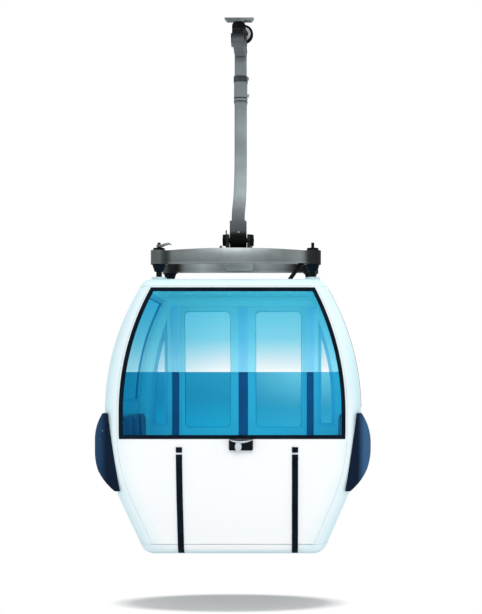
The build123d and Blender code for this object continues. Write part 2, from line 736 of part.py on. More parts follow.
# name, front face from the middle, bottom, top
bench_rows = (
    ("bench_base", HALF_LENGTH - BENCH_DEPTH, FLOOR_TOP, SEAT_Z),
    ("seat_cushion", HALF_LENGTH - CUSHION_DEPTH, SEAT_Z, SEAT_Z + CUSHION),
)
for side, name in zip(SIDES, ("left", "right")):
    for row_name, front, bottom, top in bench_rows:
        with BuildPart() as bench:
            with BuildSketch(Plane.XY.offset(bottom)):
                with Locations((side * (front + REACH) / 2, 0)):
                    Rectangle(REACH - front, 2 * BENCH_HALF_WIDTH)
            extrude(amount=top - bottom)
            add(ROOM, mode=Mode.INTERSECT)
            add(jamb_covers.part, mode=Mode.SUBTRACT)
        bench.part.label = row_name + "_" + name
        bench_pieces.append(bench.part)
    with BuildPart() as seat_back:
        add(ROOM)
        add(PAD_FACE, mode=Mode.SUBTRACT)
        with BuildSketch(Plane.YZ):
            with Locations((0, (SEAT_Z + CUSHION + BACK_GAP + BACK_TOP) / 2)):
                Rectangle(2 * BENCH_HALF_WIDTH, BACK_TOP - SEAT_Z - CUSHION - BACK_GAP)
        extrude(amount=side * REACH, mode=Mode.INTERSECT)
    seat_back.part.label = "seat_back_" + name
    bench_pieces.append(seat_back.part)

# ---- Suspension frame: two arched beams on four rubber mounts, joined by a cross member -----
beams = []
for side, name in zip(SIDES, ("front", "rear")):
    with BuildPart() as beam:
        with BuildSketch(Plane.XZ.offset(-side * BEAM_Y - BEAM_WEB / 2)):
            with BuildLine():
                Line((-POST_X, BEAM_BOTTOM), (POST_X, BEAM_BOTTOM))
                Line((POST_X, BEAM_BOTTOM), (POST_X, BEAM_BOTTOM + BEAM_END_HEIGHT))
                ThreePointArc(
                    (POST_X, BEAM_BOTTOM + BEAM_END_HEIGHT),
                    (0, BEAM_BOTTOM + BEAM_MID_HEIGHT),
                    (-POST_X, BEAM_BOTTOM + BEAM_END_HEIGHT),
                )
                Line((-POST_X, BEAM_BOTTOM + BEAM_END_HEIGHT), (-POST_X, BEAM_BOTTOM))
            make_face()
        extrude(amount=BEAM_WEB)
        with BuildSketch(Plane.XY.offset(BEAM_BOTTOM)):
            with Locations((0, side * BEAM_Y)):
                Rectangle(2 * POST_X, BEAM_FLANGE)
        extrude(amount=FLANGE_HEIGHT)
        with BuildSketch(Plane.XY.offset(BEAM_BOTTOM - BOSS_DROP)):
            with Locations((-POST_X, side * BEAM_Y), (POST_X, side * BEAM_Y)):
                Circle(BOSS_RADIUS)
        extrude(amount=BOSS_HEIGHT)
        with BuildSketch(Plane.XY.offset(BEAM_BOTTOM - BOSS_DROP)):
            with Locations((-POST_X, side * BEAM_Y), (POST_X, side * BEAM_Y)):
                Circle(POST_RADIUS)
        extrude(amount=BOSS_HEIGHT, mode=Mode.SUBTRACT)
    beam.part.label = "suspension_beam_" + name
    beams.append(beam.part)

BOSS_BOTTOM = BEAM_BOTTOM - BOSS_DROP
BOSS_TOP = BOSS_BOTTOM + BOSS_HEIGHT
PAD_TOP = ROOF_Z + PAD_HEIGHT
with BuildPart() as roof_posts:
    with BuildSketch(Plane.XY.offset(PAD_TOP)):
        with GridLocations(2 * POST_X, 2 * BEAM_Y, 2, 2):
            Circle(POST_RADIUS)
    extrude(amount=BOSS_TOP - PAD_TOP)
    with BuildSketch(Plane.XY.offset(BOSS_TOP)):
        with GridLocations(2 * POST_X, 2 * BEAM_Y, 2, 2):
            Circle(CAP_RADIUS)
    extrude(amount=CAP_HEIGHT)
    with BuildSketch(Plane.XY.offset(BOSS_TOP + CAP_HEIGHT)):
        with GridLocations(2 * POST_X, 2 * BEAM_Y, 2, 2):
            Circle(KNOB_RADIUS)
    extrude(amount=KNOB_HEIGHT)
roof_posts.part.label = "roof_posts"

with BuildPart() as rubber_mounts:
    with Locations(
        *[(x, y, BOSS_BOTTOM - CONE_HEIGHT) for x in (-POST_X, POST_X) for y in (-BEAM_Y, BEAM_Y)]
    ):
        Cone(CONE_FOOT_RADIUS, CONE_RADIUS, CONE_HEIGHT,
             align=(Align.CENTER, Align.CENTER, Align.MIN))
    add(roof_posts.part, mode=Mode.SUBTRACT)
rubber_mounts.part.label = "rubber_mounts"

CROSS_TOP = CROSS_BOTTOM + CROSS_HEIGHT
neck_in, neck_drop = EAR_NECK
with BuildPart() as cross_member:
    with BuildSketch(Plane.XY.offset(CROSS_BOTTOM)):
        Rectangle(2 * (EAR_X + EAR), 2 * (BEAM_Y - BEAM_WEB / 2))
    extrude(amount=CROSS_HEIGHT)
    add(beams[0], mode=Mode.SUBTRACT)
    add(beams[1], mode=Mode.SUBTRACT)
    for side in SIDES:
        with BuildSketch(Plane.YZ.offset(side * EAR_X - EAR / 2)):
            with BuildLine():
                Polyline(
                    (-EAR_FOOT_HALF, CROSS_TOP),
                    (neck_in - EAR_RADIUS, PIVOT_Z - neck_drop),
                    (EAR_RADIUS - neck_in, PIVOT_Z - neck_drop),
                    (EAR_FOOT_HALF, CROSS_TOP),
                    close=True,
                )
            make_face()
            with Locations((0, PIVOT_Z)):
                Circle(EAR_RADIUS)
                Circle(PIVOT_PIN_RADIUS, mode=Mode.SUBTRACT)
        extrude(amount=EAR)
cross_member.part.label = "cross_member"

with BuildPart() as pivot_pin:
    with BuildSketch(Plane.YZ.offset(-PIN_HALF)):
        with Locations((0, PIVOT_Z)):
            Circle(PIVOT_PIN_RADIUS)
    extrude(amount=2 * PIN_HALF)
    for side in SIDES:
        nut_face = side * (EAR_X + EAR / 2)
        with BuildSketch(Plane.YZ.offset(nut_face)):
            with Locations((0, PIVOT_Z)):
                RegularPolygon(NUT_RADIUS, NUT_SLOTS)
        extrude(amount=side * NUT)
        with BuildSketch(Plane.YZ.offset(nut_face + side * NUT)):
            with Locations((0, PIVOT_Z)):
                with PolarLocations(NUT_RADIUS, NUT_SLOTS):
                    Rectangle(2 * (NUT_RADIUS - PIVOT_PIN_RADIUS), NUT_SLOT)
        extrude(amount=-side * NUT_SLOT_DEPTH, mode=Mode.SUBTRACT)
pivot_pin.part.label = "pivot_pin"

strut_path = Line(
    (STRUT_FOOT_X, -BEAM_Y, ROOF_Z), (STRUT_HEAD_X, -BEAM_Y, BEAM_BOTTOM), mode=Mode.PRIVATE
)
with BuildPart() as stay_strut:
    with BuildSketch(Plane(origin=strut_path @ 0, z_dir=strut_path % 0)):
        Circle(STRUT_RADIUS)
    extrude(amount=strut_path.length)
    with BuildSketch(Plane.XY.offset(ROOF_Z)):
        with Locations((STRUT_FOOT_X, -BEAM_Y)):
            Circle(STRUT_FOOT_RADIUS)
    extrude(amount=STRUT_RADIUS)
    with BuildSketch(Plane.XY.offset(BEAM_BOTTOM)):
        with Locations((STRUT_HEAD_X, -BEAM_Y)):
            Circle(STRUT_HEAD_RADIUS)
    extrude(amount=-STRUT_RADIUS)
    with Locations((0, 0, ROOF_Z)):
        Box(2 * REACH, 2 * REACH, BEAM_BOTTOM - ROOF_Z,
            align=(Align.CENTER, Align.CENTER, Align.MIN), mode=Mode.INTERSECT)
stay_strut.part.label = "stay_strut"

# ---- Hanger arm: a bent tube that leaves the rope's far side clear ---------------------------
low_bend_z, low_bend_radius = ARM_LOW_BEND
high_bend_z, high_bend_radius = ARM_HIGH_BEND
SPLICE_MIDDLE = (SPLICE_BOTTOM + SPLICE_TOP) / 2
with BuildPart() as hanger_arm_lower:
    with BuildLine(Plane.YZ) as arm_path:
        FilletPolyline(
            (0, PIVOT_Z + FOOT_RADIUS - ARM_ROOT),
            (0, low_bend_z),
            (ARM_Y, high_bend_z),
            (ARM_Y, SPLICE_MIDDLE),
            radius=(low_bend_radius, high_bend_radius),
        )
    with BuildSketch(Plane.XY.offset(PIVOT_Z + FOOT_RADIUS - ARM_ROOT)):
        RectangleRounded(ARM_WIDTH, ARM_DEPTH, ARM_CORNER)
    sweep(path=arm_path.wires()[0])
    with BuildSketch(Plane.XY.offset(PIVOT_Z)):
        RectangleRounded(2 * FOOT_HALF, SOCKET_DEPTH, SOCKET_CORNER)
    extrude(amount=SOCKET_TOP - PIVOT_Z)
    with BuildSketch(Plane.YZ.offset(-FOOT_HALF)):
        with Locations((0, PIVOT_Z)):
            Circle(FOOT_RADIUS)
    extrude(amount=2 * FOOT_HALF)
    with BuildSketch(Plane.YZ.offset(-FOOT_HALF)):
        with Locations((0, PIVOT_Z)):
            Circle(PIVOT_PIN_RADIUS + PIN_CLEARANCE)
    extrude(amount=2 * FOOT_HALF, mode=Mode.SUBTRACT)
hanger_arm_lower.part.label = "hanger_arm_lower"

with BuildPart() as hanger_arm_upper:
    with BuildSketch(Plane.XY.offset(SPLICE_MIDDLE)):
        with Locations((0, ARM_Y)):
            RectangleRounded(UPPER_ARM_WIDTH, UPPER_ARM_DEPTH, ARM_CORNER)
    extrude(amount=HANGER_PIN_Z - SPLICE_MIDDLE)
    with BuildSketch(Plane.XZ.offset(-ARM_Y + ARM_DEPTH / 2)):
        with Locations((0, HANGER_PIN_Z)):
            Circle(HEAD_RADIUS)
    extrude(amount=-ARM_DEPTH)
    with BuildSketch(Plane.XZ.offset(-ARM_Y + ARM_DEPTH / 2)):
        with Locations((0, HANGER_PIN_Z)):
            Circle(HANGER_PIN_RADIUS + PIN_CLEARANCE)
    extrude(amount=-ARM_DEPTH, mode=Mode.SUBTRACT)
hanger_arm_upper.part.label = "hanger_arm_upper"

with BuildPart() as hanger_splice:
    with BuildSketch(Plane.XY.offset(SPLICE_BOTTOM)):
        with Locations((0, ARM_Y)):
            RectangleRounded(ARM_WIDTH + 2 * SPLICE_WALL, ARM_DEPTH + 2 * SPLICE_WALL,
                             ARM_CORNER + SPLICE_WALL)
    extrude(amount=SPLICE_TOP - SPLICE_BOTTOM)
    add(hanger_arm_lower.part, mode=Mode.SUBTRACT)
    add(hanger_arm_upper.part, mode=Mode.SUBTRACT)
hanger_splice.part.label = "hanger_splice"

# ---- Grip: jaws on the rope, body, hood, spring pots, running roller and friction plate ------
HOUSING_MIDDLE = (HOUSING_FRONT + HOUSING_BACK) / 2
HOOD_BOTTOM = HOUSING_TOP - HOOD_LIP
with BuildPart() as grip_body:
    with BuildSketch(Plane.YZ.offset(-FIXED_JAW_HALF)):
        with BuildLine():
            Polyline(
                (JAW_GAP / 2, JAW_BOTTOM),
                (JAW_GAP / 2, JAW_TOP),
                (HOUSING_FRONT, JAW_TOP),
                (HOUSING_FRONT, HOUSING_BOTTOM),
                (ROPE_RADIUS, JAW_BOTTOM),
                close=True,
            )
        make_face()
        Circle(ROPE_RADIUS, mode=Mode.SUBTRACT)
    extrude(amount=2 * FIXED_JAW_HALF)
    with BuildSketch(Plane.XZ.offset(-HOUSING_FRONT)):
        with Locations((0, (HOUSING_TOP + HOUSING_BOTTOM) / 2)):
            RectangleRounded(2 * HOUSING_HALF, HOUSING_TOP - HOUSING_BOTTOM, HOUSING_CORNER)
    extrude(amount=-(HOUSING_BACK - HOUSING_FRONT))
grip_body.part.label = "grip_body"

with BuildPart() as grip_hood:
    with BuildSketch(Plane.XZ.offset(-HOUSING_FRONT)) as hood_section:
        with Locations((0, (HOOD_TOP + HOOD_BOTTOM) / 2)):
            Rectangle(2 * HOOD_HALF, HOOD_TOP - HOOD_BOTTOM)
        fillet(hood_section.vertices().group_by(Axis.Y)[-1], HOOD_CORNER)
    extrude(amount=-(HOUSING_BACK - HOUSING_FRONT))
    add(grip_body.part, mode=Mode.SUBTRACT)
grip_hood.part.label = "grip_hood"

with BuildPart() as grip_jaw:
    with BuildSketch(Plane.YZ.offset(-JAW_HALF)) as jaw_section:
        with BuildLine():
            Polyline(
                (JAW_OUTER, JAW_BOTTOM),
                (-JAW_GAP / 2, JAW_BOTTOM),
                (-JAW_GAP / 2, JAW_TOP),
                (HOUSING_FRONT, JAW_TOP),
                (HOUSING_FRONT, JAW_TOP + JAW_ARM),
                (JAW_OUTER, JAW_TOP + JAW_ARM),
                close=True,
            )
        make_face()
        fillet(jaw_section.vertices().group_by(Axis.X)[0], JAW_CORNER)
        Circle(ROPE_RADIUS, mode=Mode.SUBTRACT)
    extrude(amount=2 * JAW_HALF)
grip_jaw.part.label = "grip_jaw"

with BuildPart() as friction_plate:
    with BuildSketch(Plane.XY.offset(HOOD_TOP - PEDESTAL_DIP)):
        with Locations((0, PLATE_Y)):
            Rectangle(2 * PEDESTAL_HALF, PLATE_WIDTH)
    extrude(amount=PEDESTAL + PEDESTAL_DIP)
    with BuildSketch(Plane.XZ.offset(-PLATE_Y + PLATE_WIDTH / 2)):
        with BuildLine():
            Polyline(
                (-PLATE_LENGTH / 2 + PLATE_TAPER, HOOD_TOP + PEDESTAL),
                (PLATE_LENGTH / 2 - PLATE_TAPER, HOOD_TOP + PEDESTAL),
                (PLATE_LENGTH / 2, HOOD_TOP + PEDESTAL + PLATE),
                (-PLATE_LENGTH / 2, HOOD_TOP + PEDESTAL + PLATE),
                close=True,
            )
        make_face()
    extrude(amount=-PLATE_WIDTH)
    add(grip_hood.part, mode=Mode.SUBTRACT)
friction_plate.part.label = "friction_plate"

HEAD_FRONT = ARM_Y - ARM_DEPTH / 2
HEAD_BACK = ARM_Y + ARM_DEPTH / 2
with BuildPart() as hanger_pin:
    with BuildSketch(Plane.XZ.offset(-HOUSING_BACK)):
        with Locations((0, HANGER_PIN_Z)):
            Circle(HANGER_PIN_RADIUS)
    extrude(amount=-(HEAD_BACK + HANGER_PIN_END - HOUSING_BACK))
    with BuildSketch(Plane.XZ.offset(-HEAD_BACK - HANGER_WASHER_GAP)):
        with Locations((0, HANGER_PIN_Z)):
            RegularPolygon(HANGER_NUT_RADIUS, 6)
    extrude(amount=-HANGER_NUT)
    with BuildSketch(Plane.XZ.offset(-HOUSING_BACK)):
        with Locations((0, HANGER_PIN_Z)):
            Circle(HANGER_PIN_RADIUS + HANGER_SHOULDER)
    extrude(amount=-(HEAD_FRONT - HANGER_WASHER_GAP - HOUSING_BACK))
hanger_pin.part.label = "hanger_pin"

ROLLER_FRONT = HOUSING_BACK + ROLLER_SIDE_GAP
with BuildPart() as roller_axle:
    with BuildSketch(Plane.XZ.offset(-HOUSING_BACK)):
        with Locations((ROLLER_X, ROLLER_Z)):
            Circle(ROLLER_AXLE_RADIUS)
    extrude(amount=-(ROLLER_WIDTH + ROLLER_SIDE_GAP))
roller_axle.part.label = "roller_axle"

with BuildPart() as grip_roller:
    with BuildSketch(Plane.XZ.offset(-ROLLER_FRONT)):
        with Locations((ROLLER_X, ROLLER_Z)):
            Circle(ROLLER_RADIUS)
            Circle(ROLLER_AXLE_RADIUS + PIN_CLEARANCE, mode=Mode.SUBTRACT)
    extrude(amount=-ROLLER_WIDTH)
    fillet(grip_roller.edges().filter_by(GeomType.CIRCLE).group_by(SortBy.RADIUS)[-1], ROLLER_EDGE)
    for face_y, inwards in ((ROLLER_FRONT, -1), (ROLLER_FRONT + ROLLER_WIDTH, 1)):
        with BuildSketch(Plane.XZ.offset(-face_y)):
            with Locations((ROLLER_X, ROLLER_Z)):
                Circle(ROLLER_RADIUS - ROLLER_RIM)
                Circle(ROLLER_HUB_RADIUS, mode=Mode.SUBTRACT)
        extrude(amount=inwards * ROLLER_DISH, mode=Mode.SUBTRACT)
grip_roller.part.label = "grip_roller"

with BuildPart() as spring_pots:
    for side in SIDES:
        with BuildSketch(Plane.YZ.offset(side * HOUSING_HALF)):
            with Locations((HOUSING_MIDDLE - SPRING_SET_FORWARD, (HOUSING_TOP + HOUSING_BOTTOM) / 2)):
                Circle(SPRING_RADIUS)
        extrude(amount=side * SPRING_CAP)
spring_pots.part.label = "spring_pots"

pieces = [
    roof_panel.part, floor_pan.part, closed_side_panel.part, closed_side_window.part,
    closed_side_seal.part, door_portal.part, corner_panes.part, corner_pane_seals.part,
    *end_panels, end_windows.part, end_window_seals.part, *door_pieces, jamb_covers.part,
    door_top_rail.part, door_bottom_guide.part, *bumpers, guard_strips.part,
    window_latch.part, *bench_pieces, *beams, roof_posts.part, rubber_mounts.part,
    cross_member.part, pivot_pin.part, stay_strut.part, hanger_arm_lower.part,
    hanger_arm_upper.part, hanger_splice.part, grip_body.part, grip_hood.part, grip_jaw.part,
    friction_plate.part, hanger_pin.part, roller_axle.part, grip_roller.part,
    spring_pots.part,
]
for piece in pieces:
    export_step(piece, f"parts/{piece.label}.step")
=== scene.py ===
import bpy
import bmesh
from math import cos, pi, radians
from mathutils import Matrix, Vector
from mathutils.bvhtree import BVHTree


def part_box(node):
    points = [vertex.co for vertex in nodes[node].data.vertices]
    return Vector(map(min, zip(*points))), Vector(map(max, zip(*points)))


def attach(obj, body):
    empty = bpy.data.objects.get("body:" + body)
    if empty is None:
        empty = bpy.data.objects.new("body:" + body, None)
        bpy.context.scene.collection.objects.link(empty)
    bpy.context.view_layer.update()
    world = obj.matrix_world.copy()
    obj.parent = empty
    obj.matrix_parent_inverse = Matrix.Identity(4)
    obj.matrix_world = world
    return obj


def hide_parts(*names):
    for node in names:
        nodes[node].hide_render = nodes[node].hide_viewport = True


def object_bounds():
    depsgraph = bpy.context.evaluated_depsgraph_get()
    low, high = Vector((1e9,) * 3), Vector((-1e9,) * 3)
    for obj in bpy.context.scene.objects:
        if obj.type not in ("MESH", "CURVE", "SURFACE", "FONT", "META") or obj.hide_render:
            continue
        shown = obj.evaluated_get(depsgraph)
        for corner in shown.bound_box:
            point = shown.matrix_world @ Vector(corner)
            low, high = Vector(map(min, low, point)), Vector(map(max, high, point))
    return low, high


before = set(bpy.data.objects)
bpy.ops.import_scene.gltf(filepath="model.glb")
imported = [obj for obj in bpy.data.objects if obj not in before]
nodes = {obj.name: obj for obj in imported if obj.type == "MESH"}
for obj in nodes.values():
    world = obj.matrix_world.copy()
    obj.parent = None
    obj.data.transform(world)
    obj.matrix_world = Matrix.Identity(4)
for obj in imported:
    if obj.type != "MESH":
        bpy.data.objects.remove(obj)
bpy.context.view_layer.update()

# ---- Cabin shell ----
# Roof, ends, closed side and door portal are moulded panels painted gloss white
# outside and lined in pale blue inside, joined along their edges.
# Cyan shade is painted into the white towards the ends, the foot and the roof, and grey shade onto
# the roof's rounded edge.
CABIN_MIDDLE = (0.0, 0.0, -3.2)
SHELL_WHITE = (0.91, 0.93, 0.94, 1)
SHELL_PAINTED_SHADE = (0.58, 0.81, 0.86, 1)
RIM_PAINTED_SHADE = (0.48, 0.64, 0.69, 1)
LINING_BLUE = (0.28, 0.74, 0.84, 1)
LINING_LOW = (0.17, 0.62, 0.74, 1)
LINING_LINE = -2.915  # the height under which the lining is the deeper blue
SHELL_TOP = -2.171
SHELL_FOOT = -4.375
# share of the height from the foot, half length there in metres
SHELL_PROFILE = ((0.0, 0.72), (0.2, 0.9), (0.33, 0.987), (0.46, 1.015), (0.52, 1.015),
                 (0.67, 0.985), (0.85, 0.88), (1.0, 0.711))
END_PAINTED_SHADE = (0.24, 0.02)  # distances from the end between which painted cyan shade comes into the white
END_CURVE = 1.7
FOOT_PAINTED_SHADE = (-4.33, -4.4)  # heights between which painted cyan shade comes in towards the foot
TOP_PAINTED_SHADE = (-2.27, -2.2)  # and towards the roof
FOOT_SHARE = 0.95
ROOF_RIM = (-2.205, -2.174)  # heights between which painted grey shade comes onto the roof's rounded edge
FLAT_TO_SIDE = (0.05, 0.4)  # how far a face turns to the side, for the painted shade
RIM_TO_SIDE = (0.08, 0.35)  # and for the painted grey shade on the rim
LEVEL_SHARE = 0.5  # how much of the painted shade a level face takes
CLOUDS = (0.3, 0.7)  # the part of a noise between whose ends most of it lies


def new_finish(name):
    """A new material, its shader and its Object coordinates."""
    material = bpy.data.materials.new(name)
    material.use_nodes = True
    shader = material.node_tree.nodes["Principled BSDF"]
    coords = material.node_tree.nodes.new("ShaderNodeTexCoord")
    return material, shader, coords.outputs["Object"]


def feed(socket, value):
    """Puts an output, a number or a colour into a socket."""
    if isinstance(value, bpy.types.NodeSocket):
        socket.id_data.links.new(value, socket)
    else:
        socket.default_value = value


def grain(coords, scale, detail=4.0, stretch=(1, 1, 1)):
    """Noise at a real scale, finer with a larger number, drawn out along an axis."""
    mapping = coords.id_data.nodes.new("ShaderNodeMapping")
    noise = coords.id_data.nodes.new("ShaderNodeTexNoise")
    feed(mapping.inputs["Scale"], stretch)
    feed(mapping.inputs["Vector"], coords)
    feed(noise.inputs["Scale"], scale)
    feed(noise.inputs["Detail"], detail)
    feed(noise.inputs["Vector"], mapping.outputs["Vector"])
    return noise.outputs["Fac"]


def ramp(value, stops):
    """Colours along a value from 0 to 1."""
    node = value.id_data.nodes.new("ShaderNodeValToRGB")
    elements = node.color_ramp.elements
    elements[0].position, elements[0].color = stops[0]
    elements[1].position, elements[1].color = stops[-1]
    for position, colour in stops[1:-1]:
        elements.new(position).color = colour
    feed(node.inputs["Fac"], value)
    return node.outputs["Color"]


def blend_colours(share, first, second):
    """First colour where share is 0, second where it is 1; each a colour or an output."""
    mix = share.id_data.nodes.new("ShaderNodeMix")
    mix.data_type = "RGBA"
    for key, value in ((0, share), (6, first), (7, second)):
        feed(mix.inputs[key], value)
    return mix.outputs[2]


def sums(operation, first, second=0.0):
    """A Math node on an output and a value."""
    node = first.id_data.nodes.new("ShaderNodeMath")
    node.operation = operation
    feed(node.inputs[0], first)
    feed(node.inputs[1], second)
    return node.outputs[0]


def vector_sum(operation, first, second=(0.0, 0.0, 0.0)):
    """A Vector Math node on an output and a value."""
    node = first.id_data.nodes.new("ShaderNodeVectorMath")
    node.operation = operation
    feed(node.inputs[0], first)
    feed(node.inputs[1], second)
    return node


def spread(value, span, to_low=0.0, to_high=1.0):
    """Value carried from a span to another range, held at its ends."""
    node = value.id_data.nodes.new("ShaderNodeMapRange")
    for key, number in zip(("Value", "From Min", "From Max", "To Min", "To Max"),
                           (value, span[0], span[1], to_low, to_high)):
        feed(node.inputs[key], number)
    return node.outputs["Result"]


def roughen(shader, height, strength, distance):
    """Bump from a height."""
    bump = shader.id_data.nodes.new("ShaderNodeBump")
    bump.inputs["Strength"].default_value = strength
    bump.inputs["Distance"].default_value = distance
    feed(bump.inputs["Height"], height)
    feed(shader.inputs["Normal"], bump.outputs["Normal"])


def axis_value(coords, axis):
    """X, Y or Z of the coordinates."""
    node = coords.id_data.nodes.new("ShaderNodeSeparateXYZ")
    feed(node.inputs[0], coords)
    return node.outputs[axis]


def size_on(coords, axis):
    """X, Y or Z of the coordinates without its sign."""
    return sums("ABSOLUTE", axis_value(coords, axis))


def band(coords, axis, span, to_low=0.0, to_high=1.0):
    """A value that runs from to_low to to_high across a span of an axis."""
    return spread(axis_value(coords, axis), span, to_low, to_high)


def clouds(coords, scale, low, high, detail=3):
    """A value that wanders between low and high."""
    return spread(grain(coords, scale, detail), CLOUDS, low, high)


def surface_feel(shader, coords, rough, sheen, bumps):
    """Rough is a noise's scale and the least and greatest roughness, sheen the share of
    light that the skin mirrors, and bumps a noise's scale, their strength and their depth."""
    feed(shader.inputs["Roughness"], clouds(coords, *rough))
    shader.inputs["Specular IOR Level"].default_value = sheen
    roughen(shader, grain(coords, bumps[0], 2), bumps[1], bumps[2])


def face_normal(coords):
    """The way that a face looks."""
    return coords.id_data.nodes.new("ShaderNodeNewGeometry").outputs["Normal"]


def faces_inward(coords, limit):
    """1 where a face looks away from the cabin's middle by less than limit."""
    outward = vector_sum("SUBTRACT", coords, CABIN_MIDDLE).outputs[0]
    facing = vector_sum("DOT_PRODUCT", outward, face_normal(coords)).outputs["Value"]
    return sums("LESS_THAN", facing, limit)


def dress(names, material):
    """Gives nodes of the part a finish."""
    for name in names:
        nodes[name].data.materials.clear()
        nodes[name].data.materials.append(material)


def greys(steps, low=0.0, high=1.0):
    """A ramp's stops for plain numbers: each step is a place from low to high, and a number."""
    return [((place - low) / (high - low), (number, number, number, 1))
            for place, number in steps]


def end_distance(coords):
    """How far a point lies in from the cabin's end at its own height, in metres."""
    height = band(coords, "Z", (SHELL_FOOT, SHELL_TOP))
    half = ramp(height, greys(SHELL_PROFILE))
    return sums("SUBTRACT", half, size_on(coords, "X"))


def painted_shell():
    """Gloss white outside, with painted cyan shade towards the ends, foot and roof and painted
    grey shade on the roof's rounded edge; lining inside.
    """
    material, shader, coords = new_finish("painted_shell")
    inside = faces_inward(coords, 0.0)
    along = spread(end_distance(coords), END_PAINTED_SHADE)
    along = sums("POWER", along, END_CURVE)
    low = band(coords, "Z", FOOT_PAINTED_SHADE, 0.0, FOOT_SHARE)
    high = band(coords, "Z", TOP_PAINTED_SHADE)
    shade = sums("MAXIMUM", along, sums("MAXIMUM", low, high))
    mottled = clouds(coords, 1.6, 0.72, 1.0)
    sideways = size_on(face_normal(coords), "Y")
    shade = sums("MULTIPLY", shade, mottled)
    shade = sums("MULTIPLY", shade, spread(sideways, FLAT_TO_SIDE, LEVEL_SHARE, 1.0))
    outside = blend_colours(shade, SHELL_WHITE, SHELL_PAINTED_SHADE)
    rim = sums("MULTIPLY", band(coords, "Z", ROOF_RIM), spread(sideways, RIM_TO_SIDE))
    outside = blend_colours(rim, outside, RIM_PAINTED_SHADE)
    above = sums("GREATER_THAN", axis_value(coords, "Z"), LINING_LINE)
    lining = blend_colours(above, LINING_LOW, LINING_BLUE)
    feed(shader.inputs["Base Color"], blend_colours(inside, outside, lining))
    shader.inputs["Coat Weight"].default_value = 0.15
    shader.inputs["Coat Roughness"].default_value = 0.08
    surface_feel(shader, coords, (22, 0.16, 0.28), 0.3, (260, 0.05, 0.0004))
    return material


dress(["roof_panel", "closed_side_panel", "door_portal", "end_panel_left", "end_panel_right",
       "door_leaf_left", "door_leaf_right"], painted_shell())

# ---- Panel joints ----
# A bead of grey sealant fills the joint where two shell panels meet. It is laid
# along each panel's cut edge, on the outer skin.
BEAD_RADIUS = 0.0022
CUT_FACE = 0.06  # how far a face may turn from square and still be a cut one
SKIN_FACE = 0.2  # how far a side panel's skin looks to the side at the least
STEEPEST = 0.9  # how level a face may lie and still be skin
ROOF_DROP = 0.04  # how far under the top the roof's cut edge lies at the least
PAN_RISE = 0.08  # how far over the foot the floor pan's does
DOUBLES = 0.00005
BEAD_GREY = (0.66, 0.78, 0.82, 1)
BEAD_DIRT = (0.5, 0.6, 0.64, 1)


def start_piece():
    """Object mode with nothing selected."""
    if bpy.context.object and bpy.context.object.mode != "OBJECT":
        bpy.ops.object.mode_set(mode="OBJECT")
    bpy.ops.object.select_all(action="DESELECT")


def take_up(piece):
    """The piece alone selected, and active."""
    start_piece()
    piece.select_set(True)
    bpy.context.view_layer.objects.active = piece


def copy_node(node, name):
    """A copy of a CAD node as the active object, with its doubles merged."""
    piece = nodes[node].copy()
    piece.data = nodes[node].data.copy()
    piece.name = name
    bpy.context.scene.collection.objects.link(piece)
    take_up(piece)
    bpy.ops.object.mode_set(mode="EDIT")
    bpy.ops.mesh.select_mode(type="EDGE")
    bpy.ops.mesh.select_all(action="SELECT")
    bpy.ops.mesh.remove_doubles(threshold=DOUBLES)
    bpy.ops.mesh.select_all(action="DESELECT")
    return piece


def clad(piece, material, body):
    """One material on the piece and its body."""
    piece.data.materials.clear()
    piece.data.materials.append(material)
    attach(piece, body)


def bead_along(node, name, is_cut, is_skin, radius, body, material):
    """A round bead along the edges where a node's cut faces meet its skin."""
    piece = copy_node(node, name)
    mesh = bmesh.from_edit_mesh(piece.data)
    for edge in mesh.edges:
        sides = [(face.calc_center_median(), face.normal) for face in edge.link_faces]
        cut = [is_cut(*side) for side in sides]
        skin = [is_skin(*side) for side in sides]
        edge.select_set(len(sides) == 2 and any(cut) and any(skin) and not all(cut))
    bmesh.update_edit_mesh(piece.data)
    bpy.ops.mesh.select_all(action="INVERT")
    bpy.ops.mesh.delete(type="EDGE")
    bpy.ops.mesh.select_all(action="SELECT")
    bpy.ops.mesh.delete_loose(use_verts=True, use_edges=False, use_faces=False)
    bpy.ops.object.mode_set(mode="OBJECT")
    bpy.ops.object.convert(target="CURVE")
    piece.data.bevel_depth = radius
    piece.data.bevel_resolution = 1
    piece.data.use_fill_caps = True
    bpy.ops.object.convert(target="MESH")
    bpy.ops.object.shade_smooth()
    clad(piece, material, body)
    return piece


def sealant():
    """Skinned-over sealant, a little dirty."""
    material, shader, coords = new_finish("joint_grey")
    dirt = ramp(grain(coords, 9, 5), [(0.35, BEAD_GREY), (0.7, BEAD_DIRT)])
    feed(shader.inputs["Base Color"], dirt)
    shader.inputs["Roughness"].default_value = 0.5
    return material


joint_grey = sealant()


def outwards(place, normal):
    """Whether a face looks away from the middle of the cabin."""
    return (place - Vector(CABIN_MIDDLE)).dot(normal) > 0


def side_cut(place, normal):
    """The outer rim of a side panel, cut straight through the wall."""
    return abs(normal.y) < CUT_FACE and outwards(place, normal)


def roof_cut(place, normal):
    """The roof panel's underside at its rim."""
    return normal.z < CUT_FACE - 1 and place.z < SHELL_TOP - ROOF_DROP


def pan_cut(place, normal):
    """The floor pan's upper side."""
    return normal.z > 1 - CUT_FACE and place.z > SHELL_FOOT + PAN_RISE


def wall_skin(place, normal):
    """The outer skin of a panel that runs all round."""
    return outwards(place, normal) and abs(normal.z) < STEEPEST


panel_joints = (  # node, cut face, skin
    ("closed_side_panel", side_cut, lambda place, normal: normal.y < -SKIN_FACE),
    ("door_portal", side_cut, lambda place, normal: normal.y > SKIN_FACE),
    ("roof_panel", roof_cut, wall_skin),
    ("floor_pan", pan_cut, wall_skin))
for node, is_cut, is_skin in panel_joints:
    bead_along(node, node + "_joint", is_cut, is_skin, BEAD_RADIUS, "cabin",
               joint_grey)

